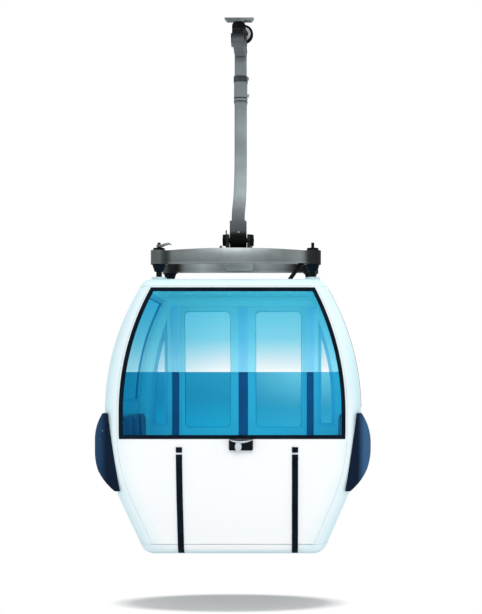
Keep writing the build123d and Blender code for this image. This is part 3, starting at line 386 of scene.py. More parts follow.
# ---- Floor pan ----
# A thick sandwich floor in bare aluminium, ribbed underneath, its edge painted white as the walls
# are, with painted cyan shade towards the foot and the ends.
ALLOY = ((0.46, 0.5, 0.52, 1), (0.55, 0.58, 0.6, 1))
EDGE_PAINTED_SHADE = (-4.325, -4.354)  # heights between which painted cyan shade comes onto the edge
EDGE_ENDS = (0.35, 0.75)  # distances along it from the middle between which it does
BARE_FROM = 0.97  # how level a face lies where the paint ends


def floor_alloy():
    """White with painted cyan shade on the rounded edge, dull aluminium above and below."""
    material, shader, coords = new_finish("floor_alloy")
    bare = sums("GREATER_THAN", size_on(face_normal(coords), "Z"), BARE_FROM)
    brushed = ramp(grain(coords, 14, 5, (1, 12, 1)), list(zip(CLOUDS, ALLOY)))
    ends = spread(size_on(coords, "X"), EDGE_ENDS, 0.0, 0.75)
    low = sums("MAXIMUM", band(coords, "Z", EDGE_PAINTED_SHADE), ends)
    edge = blend_colours(low, SHELL_WHITE, SHELL_PAINTED_SHADE)
    feed(shader.inputs["Base Color"], blend_colours(bare, edge, brushed))
    feed(shader.inputs["Roughness"], spread(bare, (0, 1), 0.2, 0.42))
    feed(shader.inputs["Metallic"], spread(bare, (0, 1), 0.0, 0.8))
    roughen(shader, grain(coords, 90, 3, (1, 6, 1)), 0.15, 0.0006)
    return material


dress(["floor_pan"], floor_alloy())

# ---- Windows ----
# Curved acrylic panes tinted blue, with a painted reflection of sky and sea over the tint: pale
# and hazy above eye level, clear deep blue below a sharp line. They sit in black rubber seals.
TINT_LINE = LINING_LINE  # the panes change where the lining does
PANE_SILL, PANE_TOP = [corner.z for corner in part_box("closed_side_window")]
PAINTED_LIGHT_ALONG = (-0.1, 0.5)  # along the rope, where the painted light under the line starts and is full
PAINTED_LIGHT_DOWN = (0.7, 0.15)  # by which share of the lower pane it fades, and to what
# along the rope, where the painted shade on the left starts and is full, and its share above the
# line
PAINTED_SHADE_LEFT = (-0.52, -0.8, 0.3)
PAINTED_SHADE_ALL = (-0.2, -0.8, 1.0)


def blend_shaders(share, first, second):
    """The first shader where share is 0, the second where it is 1."""
    mix = first.id_data.nodes.new("ShaderNodeMixShader")
    for socket, value in zip(mix.inputs, (share, first.outputs[0], second.outputs[0])):
        feed(socket, value)
    return mix


def surface_of(shader):
    """Makes a shader the one that its material or the world shows."""
    nodes_here = shader.id_data.nodes
    output = nodes_here.get("Material Output") or nodes_here["World Output"]
    feed(output.inputs["Surface"], shader.outputs[0])


def tinted_pane(name, above, below, haze, painted_light=None, painted_shade=None, reach=PAINTED_SHADE_ALL):
    """Acrylic whose tint changes at the line; its colours carry a painted reflection of sky and
    sea, brightest at the horizon on the line. Colours of the whole pane run from the line up to
    the top and from the line down to the sill. Haze is the share of the light that a face
    scatters. The fifth argument is painted light, the tint towards +X just under the line; the
    sixth is painted shade, what the tint is multiplied by, over the reach."""
    material, shader, coords = new_finish(name)
    height = axis_value(coords, "Z")
    upper = spread(height, (TINT_LINE, PANE_TOP))
    lower = spread(height, (TINT_LINE, PANE_SILL))
    over = sums("GREATER_THAN", height, TINT_LINE)
    lower_tint = ramp(lower, below)
    if painted_light:
        near_line = spread(lower, (0.0, PAINTED_LIGHT_DOWN[0]), 1.0, PAINTED_LIGHT_DOWN[1])
        share = sums("MULTIPLY", band(coords, "X", PAINTED_LIGHT_ALONG), near_line)
        lower_tint = blend_colours(share, lower_tint, painted_light)
    tint = blend_colours(over, lower_tint, ramp(upper, above))
    if painted_shade:
        share = sums("MULTIPLY", band(coords, "X", reach[:2]), spread(over, (0, 1), 1.0, reach[2]))
        deep = vector_sum("MULTIPLY", tint, painted_shade)
        tint = blend_colours(share, tint, deep.outputs[0])
    tree = material.node_tree
    one_face = tree.nodes.new("ShaderNodeGamma")  # each of the pane's two faces takes half
    one_face.inputs["Gamma"].default_value = 0.5
    feed(one_face.inputs["Color"], tint)
    clear = tree.nodes.new("ShaderNodeBsdfTransparent")
    feed(clear.inputs["Color"], one_face.outputs[0])
    feed(shader.inputs["Base Color"], tint)
    shader.inputs["Roughness"].default_value = 0.06
    shader.inputs["IOR"].default_value = 1.45
    rays = tree.nodes.new("ShaderNodeLightPath")
    lighting = sums("MAXIMUM", rays.outputs["Is Shadow Ray"], rays.outputs["Is Diffuse Ray"])
    bare = tree.nodes.new("ShaderNodeBsdfTransparent")
    mixed = blend_shaders(haze, clear, shader)
    surface_of(blend_shaders(lighting, mixed, bare))
    return material


# Each ramp holds the acrylic's blue tint with a painted reflection of sky and sea over it; the
# palest colours, at the line, are the painted horizon.
near_tint = tinted_pane(
    "near_pane",
    [(0.0, (0.95, 0.98, 0.99, 1)), (0.13, (0.84, 0.93, 0.97, 1)), (0.4, (0.43, 0.77, 0.87, 1)),
     (0.75, (0.27, 0.71, 0.84, 1)), (1.0, (0.22, 0.71, 0.81, 1))],
    [(0.0, (0.14, 0.6, 0.8, 1)), (1.0, (0.12, 0.6, 0.8, 1))],
    haze=0.01, painted_shade=(0.42, 0.7, 0.76), reach=PAINTED_SHADE_LEFT)
far_tint = tinted_pane(
    "far_pane",
    [(0.0, (0.97, 0.99, 1.0, 1)), (0.15, (0.8, 0.91, 0.94, 1)), (0.5, (0.5, 0.85, 0.95, 1)),
     (1.0, (0.45, 0.82, 0.92, 1))],
    [(0.0, (0.16, 0.54, 0.68, 1)), (0.5, (0.1, 0.48, 0.62, 1)), (1.0, (0.1, 0.6, 0.76, 1))],
    haze=0.02, painted_light=(0.95, 0.95, 0.96, 1), painted_shade=(0.55, 0.82, 0.91))
end_tint = tinted_pane(
    "end_pane",
    [(0.0, (0.4, 0.74, 0.86, 1)), (0.3, (0.28, 0.68, 0.82, 1)), (1.0, (0.12, 0.55, 0.76, 1))],
    [(0.0, (0.12, 0.5, 0.66, 1)), (1.0, (0.12, 0.5, 0.66, 1))], haze=0.02)
dress(["closed_side_window"], near_tint)
dress(["corner_panes", "door_glass_left", "door_glass_right"], far_tint)
dress(["end_windows"], end_tint)

SEAL_BLACK = ((0.001, 0.004, 0.009, 1), (0.004, 0.011, 0.02, 1))
LIP_BLACK = ((0.002, 0.005, 0.01, 1), (0.006, 0.014, 0.024, 1))
LIP_BLUE = (0.15, 0.52, 0.72, 1)
LIP_LIMIT = 0.25  # how far out a face of the moulded lip may look
DOOR_NAVY = ((0.02, 0.085, 0.21, 1), (0.03, 0.11, 0.26, 1))
DOOR_BLUE = ((0.21, 0.62, 0.82, 1), (0.25, 0.67, 0.87, 1))
DOOR_INSIDE = 0.3  # how far towards the doors a face of the blue part may look
DUST = (0.35, 0.75)  # the part of the noise between a clean and a dusty face


def dusty(coords, tones):
    """Two tones, the second where dust lies."""
    return ramp(grain(coords, 7, 6), list(zip(DUST, tones)))


def rubber_feel(shader, coords, sheen):
    """The dull, fine skin of rubber or hard plastic."""
    surface_feel(shader, coords, (30, 0.42, 0.6), sheen, (420, 0.12, 0.0005))


def moulded_rubber(name, tones):
    """Rubber or hard plastic of one colour, faintly dusty."""
    material, shader, coords = new_finish(name)
    feed(shader.inputs["Base Color"], dusty(coords, tones))
    rubber_feel(shader, coords, 0.05)
    return material


def lined_seal():
    """Black rubber outside; the lip inside the cabin is moulded in the lining's blue."""
    material, shader, coords = new_finish("lined_seal")
    inside = faces_inward(coords, LIP_LIMIT)
    black = dusty(coords, LIP_BLACK)
    feed(shader.inputs["Base Color"], blend_colours(inside, black, LIP_BLUE))
    rubber_feel(shader, coords, 0.12)
    return material


def looks_in(coords, limit):
    """1 where a face looks towards the doors by less than limit."""
    return sums("LESS_THAN", axis_value(face_normal(coords), "Y"), limit)


def door_moulding():
    """Jamb covers and edge seals: navy, but the lining's blue inside, above the line."""
    material, shader, coords = new_finish("door_moulding")
    over = sums("GREATER_THAN", axis_value(coords, "Z"), TINT_LINE)
    over = sums("MULTIPLY", over, looks_in(coords, DOOR_INSIDE))
    navy, blue = [ramp(grain(coords, 7, 5), list(zip(CLOUDS, tones)))
                  for tones in (DOOR_NAVY, DOOR_BLUE)]
    feed(shader.inputs["Base Color"], blend_colours(over, navy, blue))
    rubber_feel(shader, coords, 0.12)
    return material


seal_rubber = moulded_rubber("seal_rubber", SEAL_BLACK)
dress(["closed_side_seal", "guard_strips", "rubber_mounts"], seal_rubber)
dress(["corner_pane_seals", "end_window_seals"], lined_seal())
door_trim = door_moulding()
dress(["door_edge_left", "door_edge_right", "jamb_covers"], door_trim)

# ---- Door gaskets ----
# Black rubber gaskets clamp the door leaves' panes. Their lip shows round each pane on
# the outside.
GASKET_RADIUS = 0.005
GASKET_NEAR = 0.004  # how far outside the pane its opening's edge may lie
GASKET_SUNK = 0.0046  # how far the gasket is pressed into the leaf
GASKET_FACE = 0.5  # how far the leaf's outer face looks to the side at the least
GASKET_BLACK = ((0.004, 0.008, 0.013, 1), (0.012, 0.018, 0.026, 1))
GASKET_BLUE = (0.2, 0.66, 0.8, 1)
GASKET_INSIDE = 0.2  # how far towards the doors a face of the blue lip may look


def gasket_rubber():
    """Black rubber, whose inner lip is moulded in the lining's blue."""
    material, shader, coords = new_finish("gasket_rubber")
    black = dusty(coords, GASKET_BLACK)
    inside = looks_in(coords, GASKET_INSIDE)
    feed(shader.inputs["Base Color"], blend_colours(inside, black, GASKET_BLUE))
    rubber_feel(shader, coords, 0.1)
    return material


soft_gasket = gasket_rubber()
for side in ("left", "right"):
    pane_low, pane_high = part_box("door_glass_" + side)

    def pane_edge(place, normal):
        """A face of the leaf's own opening, cut straight through it."""
        near = (pane_low.x - GASKET_NEAR < place.x < pane_high.x + GASKET_NEAR
                and pane_low.z - GASKET_NEAR < place.z < pane_high.z + GASKET_NEAR)
        return near and abs(normal.y) < CUT_FACE

    gasket = bead_along("door_leaf_" + side, "door_gasket_" + side, pane_edge,
                        lambda place, normal: normal.y > GASKET_FACE, GASKET_RADIUS,
                        "door_" + side, soft_gasket)
    for vertex in gasket.data.vertices:
        vertex.co.y -= GASKET_SUNK

# ---- Door lip ----
# A soft lip on the left leaf's edge seal closes the gap between the two leaves. It is
# moulded in one with the seal.
LIP_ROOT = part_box("door_edge_left")[1].x
MEETING_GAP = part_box("door_edge_right")[0].x - LIP_ROOT
LIP_CLEAR = 0.0003  # what stays open between the lip and the other seal
LIP_FLAT = 0.0005  # how far from the seal's end face the lip's own faces may start
SQUARE_ON = 0.9  # how squarely a face has to look one way to count as facing it
SMOOTH_UNDER = radians(35)


def finish_piece(piece, material, body):
    """The piece's place goes into its mesh; it is smoothed by angle and clad."""
    take_up(piece)
    bpy.ops.object.transform_apply()
    bpy.ops.object.shade_smooth_by_angle(angle=SMOOTH_UNDER)
    clad(piece, material, body)


def chosen_faces(piece, wanted):
    """Selects the faces of the piece in edit mode that are wanted."""
    bpy.ops.mesh.select_mode(type="FACE")
    bpy.ops.mesh.select_all(action="DESELECT")
    mesh = bmesh.from_edit_mesh(piece.data)
    for face in mesh.faces:
        face.select_set(wanted(face.calc_center_median(), face.normal))
    bmesh.update_edit_mesh(piece.data)


def apply_all(piece):
    """Applies the modifiers of the active piece."""
    for modifier in list(piece.modifiers):
        bpy.ops.object.modifier_apply(modifier=modifier.name)


def add_wall(piece, thickness):
    """Thickens a skin outwards."""
    wall = piece.modifiers.new("wall", "SOLIDIFY")
    wall.thickness = thickness
    wall.offset = 1.0


lip = copy_node("door_edge_left", "door_lip")
chosen_faces(lip, lambda place, normal: not (normal.x > SQUARE_ON
                                             and place.x > LIP_ROOT - LIP_FLAT))
bpy.ops.mesh.delete(type="FACE")
bpy.ops.object.mode_set(mode="OBJECT")
add_wall(lip, MEETING_GAP - LIP_CLEAR)
apply_all(lip)
finish_piece(lip, door_trim, "door_left")

# ---- Bumpers ----
# Solid pads of navy polyurethane, cast to the shape of the ends and bolted round them to
# take knocks in the stations.
BUMPER_REST = (0.009, 0.038, 0.095, 1)
BUMPER_DUSTY = (0.018, 0.062, 0.13, 1)
BUMPER_PAINTED_LIGHT = (0.052, 0.135, 0.27, 1)  # painted light on the end towards +X
BUMPER_LIGHT_SPAN = (-0.8, 0.9)  # along the rope, where the painted light on the navy starts and is strongest
BUMPER_MOST_LIGHT = 0.7
SCUFF = (0.3, 0.42, 0.5, 1)
SPECKS = (0.72, 0.76)  # the part of a noise between clean and scuffed
SCUFFED = (-3.55, -3.4)  # heights between which the scuffs come in
ROOT_PAINTED_SHADE = (0.003, 0.01, 0.028, 1)
BUMPER_ROOT = (0.985, 1.035)  # from the middle, where painted shade darkens the pad against the wall


def bumper_pad():
    """Navy polyurethane, dusty, with a few pale scuffs where it meets the rails, painted light
    towards +X and painted shade where it meets the wall.
    """
    material, shader, coords = new_finish("bumper_navy")
    navy = ramp(grain(coords, 6, 5), [(0.3, BUMPER_REST), (0.75, BUMPER_DUSTY)])
    # painted light: the navy lightens towards +X
    lit_share = band(coords, "X", BUMPER_LIGHT_SPAN, 0.0, BUMPER_MOST_LIGHT)
    navy = blend_colours(lit_share, navy, BUMPER_PAINTED_LIGHT)
    specks = spread(grain(coords, 34, 2), SPECKS, 0.0, 0.7)
    worn = sums("MULTIPLY", specks, band(coords, "Z", SCUFFED))
    # painted shade: the pad darkens where it meets the wall
    root_shade = spread(size_on(coords, "X"), BUMPER_ROOT, 1.0, 0.0)
    wear_and_highlight = blend_colours(worn, navy, SCUFF)
    feed(shader.inputs["Base Color"], blend_colours(root_shade, wear_and_highlight, ROOT_PAINTED_SHADE))
    surface_feel(shader, coords, (26, 0.4, 0.6), 0.07, (300, 0.1, 0.0005))
    return material


dress(["bumper_left", "bumper_right"], bumper_pad())

# ---- Window latch ----
# A black moulded lock under the middle of the window's sill, with a plated ledge along
# its top and an oval plated button that stands out of it.
LATCH_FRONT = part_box("window_latch")[0].y
BUTTON_REACH = 0.03
LATCH_BLACK = (0.003, 0.006, 0.01, 1)
LATCH_PLATING = (0.62, 0.68, 0.72, 1)


def latch_finish():
    """Black moulding, plated where it stands furthest out."""
    material, shader, coords = new_finish("latch_finish")
    out = sums("LESS_THAN", axis_value(coords, "Y"), LATCH_FRONT + BUTTON_REACH)
    feed(shader.inputs["Base Color"], blend_colours(out, LATCH_BLACK, LATCH_PLATING))
    feed(shader.inputs["Metallic"], spread(out, (0, 1), 0.0, 0.85))
    surface_feel(shader, coords, (60, 0.25, 0.4), 0.06, (380, 0.08, 0.0004))
    return material


dress(["window_latch"], latch_finish())

# ---- Benches ----
# Each bench is a grey moulded plinth with a long foam cushion on it and a back pad on the
# wall. All four pads are covered in woven blue cloth, sewn down between the four places.
SEAM_PITCH = 0.385
SEAMS = (-SEAM_PITCH, 0.0, SEAM_PITCH)
SEAM_HALF = 0.008
SEAM_DEPTH = 0.009
COVER_VOXEL = 0.012
COVER_SLACK = 0.012  # how much smaller the cover starts than its pad, each way
COVER_RISE = 0.026  # how far the pressure may move it
COVER_PROUD = 0.006  # how far over its pad it may stand in the end
UNDERSIDE = 0.7  # how squarely a cushion's face looks down or to the wall where it rests
WALL_SIDE = 0.3  # and a back pad's face to the wall
PRESSURE = 4.0
SETTLED = 20  # the frame at which the cloth has come to rest
THREAD = 105  # a wave scale whose bands are 3 mm apart
BENCH_GREY = ((0.3, 0.36, 0.4, 1), (0.36, 0.42, 0.46, 1))
SEAT_BLUE = ((0.02, 0.075, 0.2, 1), (0.035, 0.11, 0.28, 1))
SEAM_BLUE = (0.008, 0.03, 0.09, 1)


def seat_weave():
    """Woven cloth of two crossed threads, unevenly dyed, darker where it is sewn down."""
    material, shader, coords = new_finish("seat_weave")
    dye = ramp(grain(coords, 5, 6), list(zip(CLOUDS, SEAT_BLUE)))
    across = axis_value(coords, "Y")
    along = sums("ADD", axis_value(coords, "X"), axis_value(coords, "Z"))
    tree = material.node_tree
    plane = tree.nodes.new("ShaderNodeCombineXYZ")
    feed(plane.inputs["X"], along)
    feed(plane.inputs["Y"], across)
    threads = []
    for direction in ("X", "Y"):
        wave = tree.nodes.new("ShaderNodeTexWave")
        wave.bands_direction = direction
        wave.inputs["Scale"].default_value = THREAD
        wave.inputs["Distortion"].default_value = 0.4
        feed(wave.inputs["Vector"], plane.outputs[0])
        threads.append(wave.outputs["Fac"])
    weave = sums("MULTIPLY", threads[0], threads[1])
    lit_threads = blend_colours(weave, SEAM_BLUE, dye)
    cloth = blend_colours(spread(weave, (0, 1), 0.65, 1.0), lit_threads, dye)
    from_seam = sums("PINGPONG", across, SEAM_PITCH / 2)
    sewn = spread(from_seam, (SEAM_HALF / 2, SEAM_HALF * 2), 1.0, 0.0)
    feed(shader.inputs["Base Color"], blend_colours(sewn, cloth, SEAM_BLUE))
    feed(shader.inputs["Roughness"], spread(weave, (0, 1), 0.95, 0.75))
    shader.inputs["Sheen Weight"].default_value = 0.25
    shader.inputs["Specular IOR Level"].default_value = 0.2
    roughen(shader, weave, 0.35, 0.0008)
    return material


def pad_cover(node, name, rests):
    """A pad's cover, blown out from inside and sewn down, and flat where rests says."""
    piece = copy_node(node, name)
    bpy.ops.object.mode_set(mode="OBJECT")
    pad = BVHTree.FromPolygons([vertex.co.copy() for vertex in piece.data.vertices],
                               [list(face.vertices) for face in piece.data.polygons])
    bpy.ops.object.mode_set(mode="EDIT")
    bpy.ops.mesh.select_all(action="SELECT")
    bpy.ops.transform.shrink_fatten(value=-COVER_SLACK, use_even_offset=True)
    bpy.ops.object.mode_set(mode="OBJECT")
    even = piece.modifiers.new("even", "REMESH")
    even.mode = "VOXEL"
    even.voxel_size = COVER_VOXEL
    apply_all(piece)
    sewn = piece.vertex_groups.new(name="sewn")
    for vertex in piece.data.vertices:
        if any(abs(vertex.co.y - seam) < SEAM_HALF for seam in SEAMS):
            vertex.co -= vertex.normal * SEAM_DEPTH
            sewn.add([vertex.index], 1.0, "REPLACE")
    start = [vertex.co.copy() for vertex in piece.data.vertices]
    cloth = piece.modifiers.new("cover", "CLOTH")
    cloth.settings.use_pressure = True
    cloth.settings.uniform_pressure_force = PRESSURE
    cloth.settings.effector_weights.gravity = 0
    cloth.settings.vertex_group_mass = "sewn"
    for step in range(1, SETTLED + 1):
        bpy.context.scene.frame_set(step)
    apply_all(piece)
    bpy.context.scene.frame_set(1)
    for vertex, home in zip(piece.data.vertices, start):
        moved = vertex.co - home
        if moved.length > COVER_RISE:
            vertex.co = home + moved * (COVER_RISE / moved.length)
        nearest, normal, _, _ = pad.find_nearest(vertex.co)
        proud = (vertex.co - nearest).dot(normal)
        limit = 0.0 if rests(normal) else COVER_PROUD
        if proud > limit:
            vertex.co -= normal * (proud - limit)
    piece.vertex_groups.clear()
    round_off = piece.modifiers.new("round_off", "SUBSURF")
    round_off.levels = 1
    round_off.render_levels = 1
    apply_all(piece)
    take_up(piece)
    bpy.ops.object.shade_smooth()
    return piece


bench_grey = moulded_rubber("bench_grey", BENCH_GREY)
dress(["bench_base_left", "bench_base_right"], bench_grey)
seat_cloth = seat_weave()
for side, outward in (("left", -1), ("right", 1)):
    covers = (
        ("seat_cushion_", "cushion_cover_",
         lambda normal: normal.z < -UNDERSIDE or normal.x * outward > UNDERSIDE),
        ("seat_back_", "back_cover_", lambda normal: normal.x * outward > WALL_SIDE))
    for node, name, rests in covers:
        cover = pad_cover(node + side, name + side, rests)
        clad(cover, seat_cloth, "cabin")
        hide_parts(node + side)

# ---- Suspension ----
# Two pressed beams and a cross member stand on the roof on four rubber mounts, and
# carry the pivot of the bent arm. All are steel castings and tubes, coated grey, and light and
# shade are painted into the coats of the arm and the beams.
ARM_PAINTED_LIGHT = (  # height, and how light the painted light and shade make the coat there
    (-1.74, 0.0), (-1.715, 0.02), (-1.69, 0.17), (-1.666, 0.2), (-1.631, 0.22), (-1.596, 0.3),
    (-1.53, 0.34), (-1.49, 0.38), (-1.45, 0.46), (-1.32, 0.69), (-1.15, 0.74), (-0.98, 0.7),
    (-0.83, 0.56), (-0.69, 0.68), (-0.5, 0.5), (-0.3, 0.49), (-0.1, 0.5), (-0.04, 0.36),
    (0.0, 0.12), (0.03, 0.02), (0.09, 0.004))
FRONT_PAINTED_LIGHT = (  # along the near beam, how light the painted light and shade make the coat there
    (-0.7, 0.26), (-0.63, 0.27), (-0.6, 0.11), (-0.565, 0.11), (-0.53, 0.4), (-0.42, 0.45),
    (-0.26, 0.49), (0.0, 0.64), (0.2, 0.59), (0.41, 0.5), (0.54, 0.6), (0.575, 0.45),
    (0.6, 0.08), (0.63, 0.04), (0.7, 0.03))
REAR_PAINTED_LIGHT = (  # the same along the far beam, which lies in painted shadow from the near one towards its ends
    (-0.7, 0.2), (-0.64, 0.03), (-0.56, 0.03), (-0.5, 0.5), (-0.33, 1.0), (-0.03, 0.67),
    (0.18, 0.83), (0.38, 0.5), (0.45, 0.2), (0.5, 0.02), (0.7, 0.02))
CROWN = (-1.96, -1.893)  # heights between which a painted highlight lies on the near beam's middle
CROWN_REACH = (0.1, 0.4)  # distances along it from the middle between which that ends
CROWN_HIGHLIGHT = 1.25
PIVOT_DARK = (-1.882, -1.862)  # heights above which the eyes over the beams are darkened to nearly black
PIVOT_DARK_LEFT = 0.04  # how light the coat is there


def coated_metal(name, dark, light, roughness, metallic, scale, bump, sheen=0.2):
    """Cast, painted or galvanised steel with worn, uneven tone."""
    material, shader, coords = new_finish(name)
    tone = ramp(grain(coords, scale, 7), [(0.32, dark), (0.68, light)])
    feed(shader.inputs["Base Color"], tone)
    feed(shader.inputs["Roughness"],
         clouds(coords, scale * 3, roughness - 0.08, roughness + 0.1, 4))
    shader.inputs["Metallic"].default_value = metallic
    shader.inputs["Specular IOR Level"].default_value = sheen
    roughen(shader, grain(coords, scale * 12, 3), bump, 0.001)
    return material, shader, coords


def shaded(shader, share):
    """Darkens what already reaches the shader's colour by a share."""
    mix = vector_sum("SCALE", shader.inputs["Base Color"].links[0].from_socket)
    feed(mix.inputs["Scale"], share)
    feed(shader.inputs["Base Color"], mix.outputs[0])


def painted_light_along(coords, axis, tones):
    """How light the painted light and shade make the coat along an axis."""
    low, high = tones[0][0], tones[-1][0]
    return ramp(band(coords, axis, (low, high)), greys(tones, low, high))


def arm_paint():
    """Grey coat with painted light and shade along its height: lightest half way up the arm, dark
    at the pivot and at the grip.
    """
    material, shader, coords = coated_metal(
        "arm_coat", (0.35, 0.405, 0.425, 1), (0.42, 0.48, 0.505, 1), 0.5, 0.0, 5, 0.15, 0.1)
    shaded(shader, painted_light_along(coords, "Z", ARM_PAINTED_LIGHT))
    return material


def beam_paint(name, tones, wear_and_highlight):
    """Grey coat with painted light and shade along the beam as tones say, black at the eyes, and a
    painted highlight, lighter by the share given, along the top of the middle."""
    material, shader, coords = coated_metal(
        name, (0.3, 0.335, 0.34, 1), (0.42, 0.46, 0.47, 1), 0.45, 0.05, 6, 0.25, 0.12)
    share = painted_light_along(coords, "X", tones)
    dark_eyes = band(coords, "Z", PIVOT_DARK, 1.0, PIVOT_DARK_LEFT)
    crown = sums("POWER", band(coords, "Z", CROWN), 2)
    middle = spread(size_on(coords, "X"), CROWN_REACH, wear_and_highlight, 0.0)
    painted_light = sums("ADD", sums("MULTIPLY", crown, middle), 1)
    shaded(shader, sums("MULTIPLY", sums("MULTIPLY", share, dark_eyes), painted_light))
    return material


bright_steel = coated_metal(
    "bright_steel", (0.3, 0.31, 0.32, 1), (0.5, 0.52, 0.53, 1), 0.35, 0.8, 18, 0.1)[0]
dark_cast = coated_metal(
    "dark_cast", (0.001, 0.0015, 0.002, 1), (0.006, 0.008, 0.01, 1), 0.45, 0.0, 14, 0.25, 0.05)[0]
worn_plate = coated_metal(
    "worn_plate", (0.12, 0.14, 0.15, 1), (0.24, 0.26, 0.27, 1), 0.4, 0.3, 16, 0.2)[0]
dress(["suspension_beam_front"], beam_paint("frame_coat", FRONT_PAINTED_LIGHT, CROWN_HIGHLIGHT))
dress(["suspension_beam_rear", "cross_member"], beam_paint("frame_coat_rear", REAR_PAINTED_LIGHT, 0))
dress(["hanger_arm_lower", "hanger_arm_upper", "hanger_splice", "grip_body", "grip_jaw"],
      arm_paint())
dress(["roller_axle", "door_top_rail", "door_bottom_guide", "hanger_pin"], bright_steel)
dress(["friction_plate"], worn_plate)
dress(["pivot_pin", "grip_hood", "grip_roller", "spring_pots", "roof_posts", "stay_strut"],
      dark_cast)

# ---- Sleeve straps ----
# The sleeve over the joint of the arm's two tubes is clamped by three steel straps, a
# broad one near its top and two narrow ones near its foot.
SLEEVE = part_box("hanger_splice")
SLEEVE_MIDDLE_Y = (SLEEVE[0].y + SLEEVE[1].y) / 2
STRAP = 0.004  # the broad strap's thickness; the narrow ones have half
STRAPS = ((-0.262, -0.208), (-0.413, -0.402), (-0.445, -0.434))  # foot and top of each
SLEEVE_SIDE = 0.7  # how level a face may lie and still be the sleeve's side
STRAP_EDGE = 0.25  # the rounding of a strap's edges, as a share of its thickness


def round_edges(piece, width):
    """Rounds the sharp edges of a piece."""
    edges = piece.modifiers.new("edges", "BEVEL")
    edges.width = width
    edges.segments = 2
    edges.limit_method = "ANGLE"


def strap_round(name, foot, top, thickness):
    """A strap round the sleeve, cut from the sleeve's own outer skin."""
    piece = copy_node("hanger_splice", name)
    for level, clear_inner in ((foot, True), (top, False)):
        bpy.ops.mesh.select_all(action="SELECT")
        bpy.ops.mesh.bisect(plane_co=(0, 0, level), plane_no=(0, 0, 1),
                            clear_inner=clear_inner, clear_outer=not clear_inner)
    chosen_faces(piece, lambda place, normal:
                 place.x * normal.x + (place.y - SLEEVE_MIDDLE_Y) * normal.y <= 0
                 or abs(normal.z) > SLEEVE_SIDE)
    bpy.ops.mesh.delete(type="FACE")
    bpy.ops.object.mode_set(mode="OBJECT")
    add_wall(piece, thickness)
    round_edges(piece, thickness * STRAP_EDGE)
    apply_all(piece)
    finish_piece(piece, strap_steel, "hanger")


strap_steel = coated_metal("strap_steel", (0.02, 0.026, 0.03, 1), (0.06, 0.07, 0.075, 1),
                           0.45, 0.3, 20, 0.2)[0]
for number, (foot, top) in enumerate(STRAPS):
    strap_round(f"sleeve_strap_{number}", foot, top, STRAP if number == 0 else STRAP / 2)

# ---- Pivot fittings ----
# At the arm's foot a tall turned safety pin locks the nut of the pivot pin, and a grease
# nipple is screwed into the arm's near face.
PIN_FOOT = (-0.105, 0.0, -1.822)
PIN_STEPS = ((0.006, 0.012), (0.008, 0.128), (0.011, 0.004), (0.006, 0.014))
NIPPLE_PLACE = (0.007, -0.5, -1.701)  # in front of the arm, on the nipple's axis
NIPPLE_STEPS = ((0.008, 0.004), (0.006, 0.007), (0.0032, 0.003), (0.0045, 0.005))
TURNED_EDGE = 0.15  # the rounding of a turned piece's edges, as a share of its least radius
TOP_NEAR = 0.0001  # how near the top a face lies to be the top


def turned_piece(name, place, axis, steps, sides, material, body):
    """A turned piece of stepped radii that stands along an axis: (radius, length) each."""
    start_piece()
    radius, length = steps[0]
    bpy.ops.mesh.primitive_cylinder_add(vertices=sides, radius=radius, depth=length,
                                        location=(0, 0, length / 2))
    piece = bpy.context.object
    piece.name = name
    bpy.ops.object.transform_apply()
    bpy.ops.object.mode_set(mode="EDIT")
    for next_radius, next_length in steps[1:]:
        top = max(vertex.co.z for vertex in bmesh.from_edit_mesh(piece.data).verts)
        chosen_faces(piece, lambda centre, normal: normal.z > SQUARE_ON
                     and centre.z > top - TOP_NEAR)
        bpy.ops.mesh.inset(thickness=radius - next_radius)
        bpy.ops.mesh.extrude_region_move(TRANSFORM_OT_translate={"value": (0, 0, next_length)})
        radius = next_radius
    bpy.ops.object.mode_set(mode="OBJECT")
    round_edges(piece, min(step[0] for step in steps) * TURNED_EDGE)
    apply_all(piece)
    piece.rotation_euler = Vector(axis).to_track_quat("Z", "Y").to_euler()
    piece.location = place
    finish_piece(piece, material, body)


def surface_at(node, start, direction):
    """Where a line from start first meets a node, or None where it misses it."""
    hit, place, _, _ = nodes[node].ray_cast(Vector(start), Vector(direction))
    return place if hit else None


turned_piece("pivot_safety_pin", PIN_FOOT, (0, 0, 1), PIN_STEPS, 16, strap_steel, "cabin")
turned_piece("grease_nipple", surface_at("hanger_arm_lower", NIPPLE_PLACE, (0, 1, 0)),
             (0, -1, 0), NIPPLE_STEPS, 16, bright_steel, "hanger")

# ---- Roller cap ----
# A pressed bright cap closes the bearing in the near face of the grip's running roller,
# with a dark hub in its middle.
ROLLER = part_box("grip_roller")
ROLLER_FACE = ((ROLLER[0].x + ROLLER[1].x) / 2, ROLLER[0].y, (ROLLER[0].z + ROLLER[1].z) / 2)
CAP_STEPS = ((0.063, 0.0012), (0.056, 0.001))
HUB_STEPS = ((0.04, 0.003), (0.034, 0.001))

turned_piece("roller_cap", ROLLER_FACE, (0, -1, 0), CAP_STEPS, 48, bright_steel, "roller")
turned_piece("roller_hub", ROLLER_FACE, (0, -1, 0), HUB_STEPS, 48, dark_cast, "roller")

# ---- Sleeve bolts ----
# Two bright hexagon bolts, each with its washer, pinch the sleeve from its side: one
# through the broad strap, one above the narrow ones.
SLEEVE_BOLTS = (-0.224, -0.38)
BOLT_ACROSS = 0.026
BOLT_HEIGHT = 0.012
BOLT_CHAMFER = (0.12, 0.08)  # how far in and how high it goes, as shares of the radius
BOLT_DISH = (0.3, -0.04)
WASHER_REACH = 0.25  # how far it stands out, as such a share
WASHER = 0.003


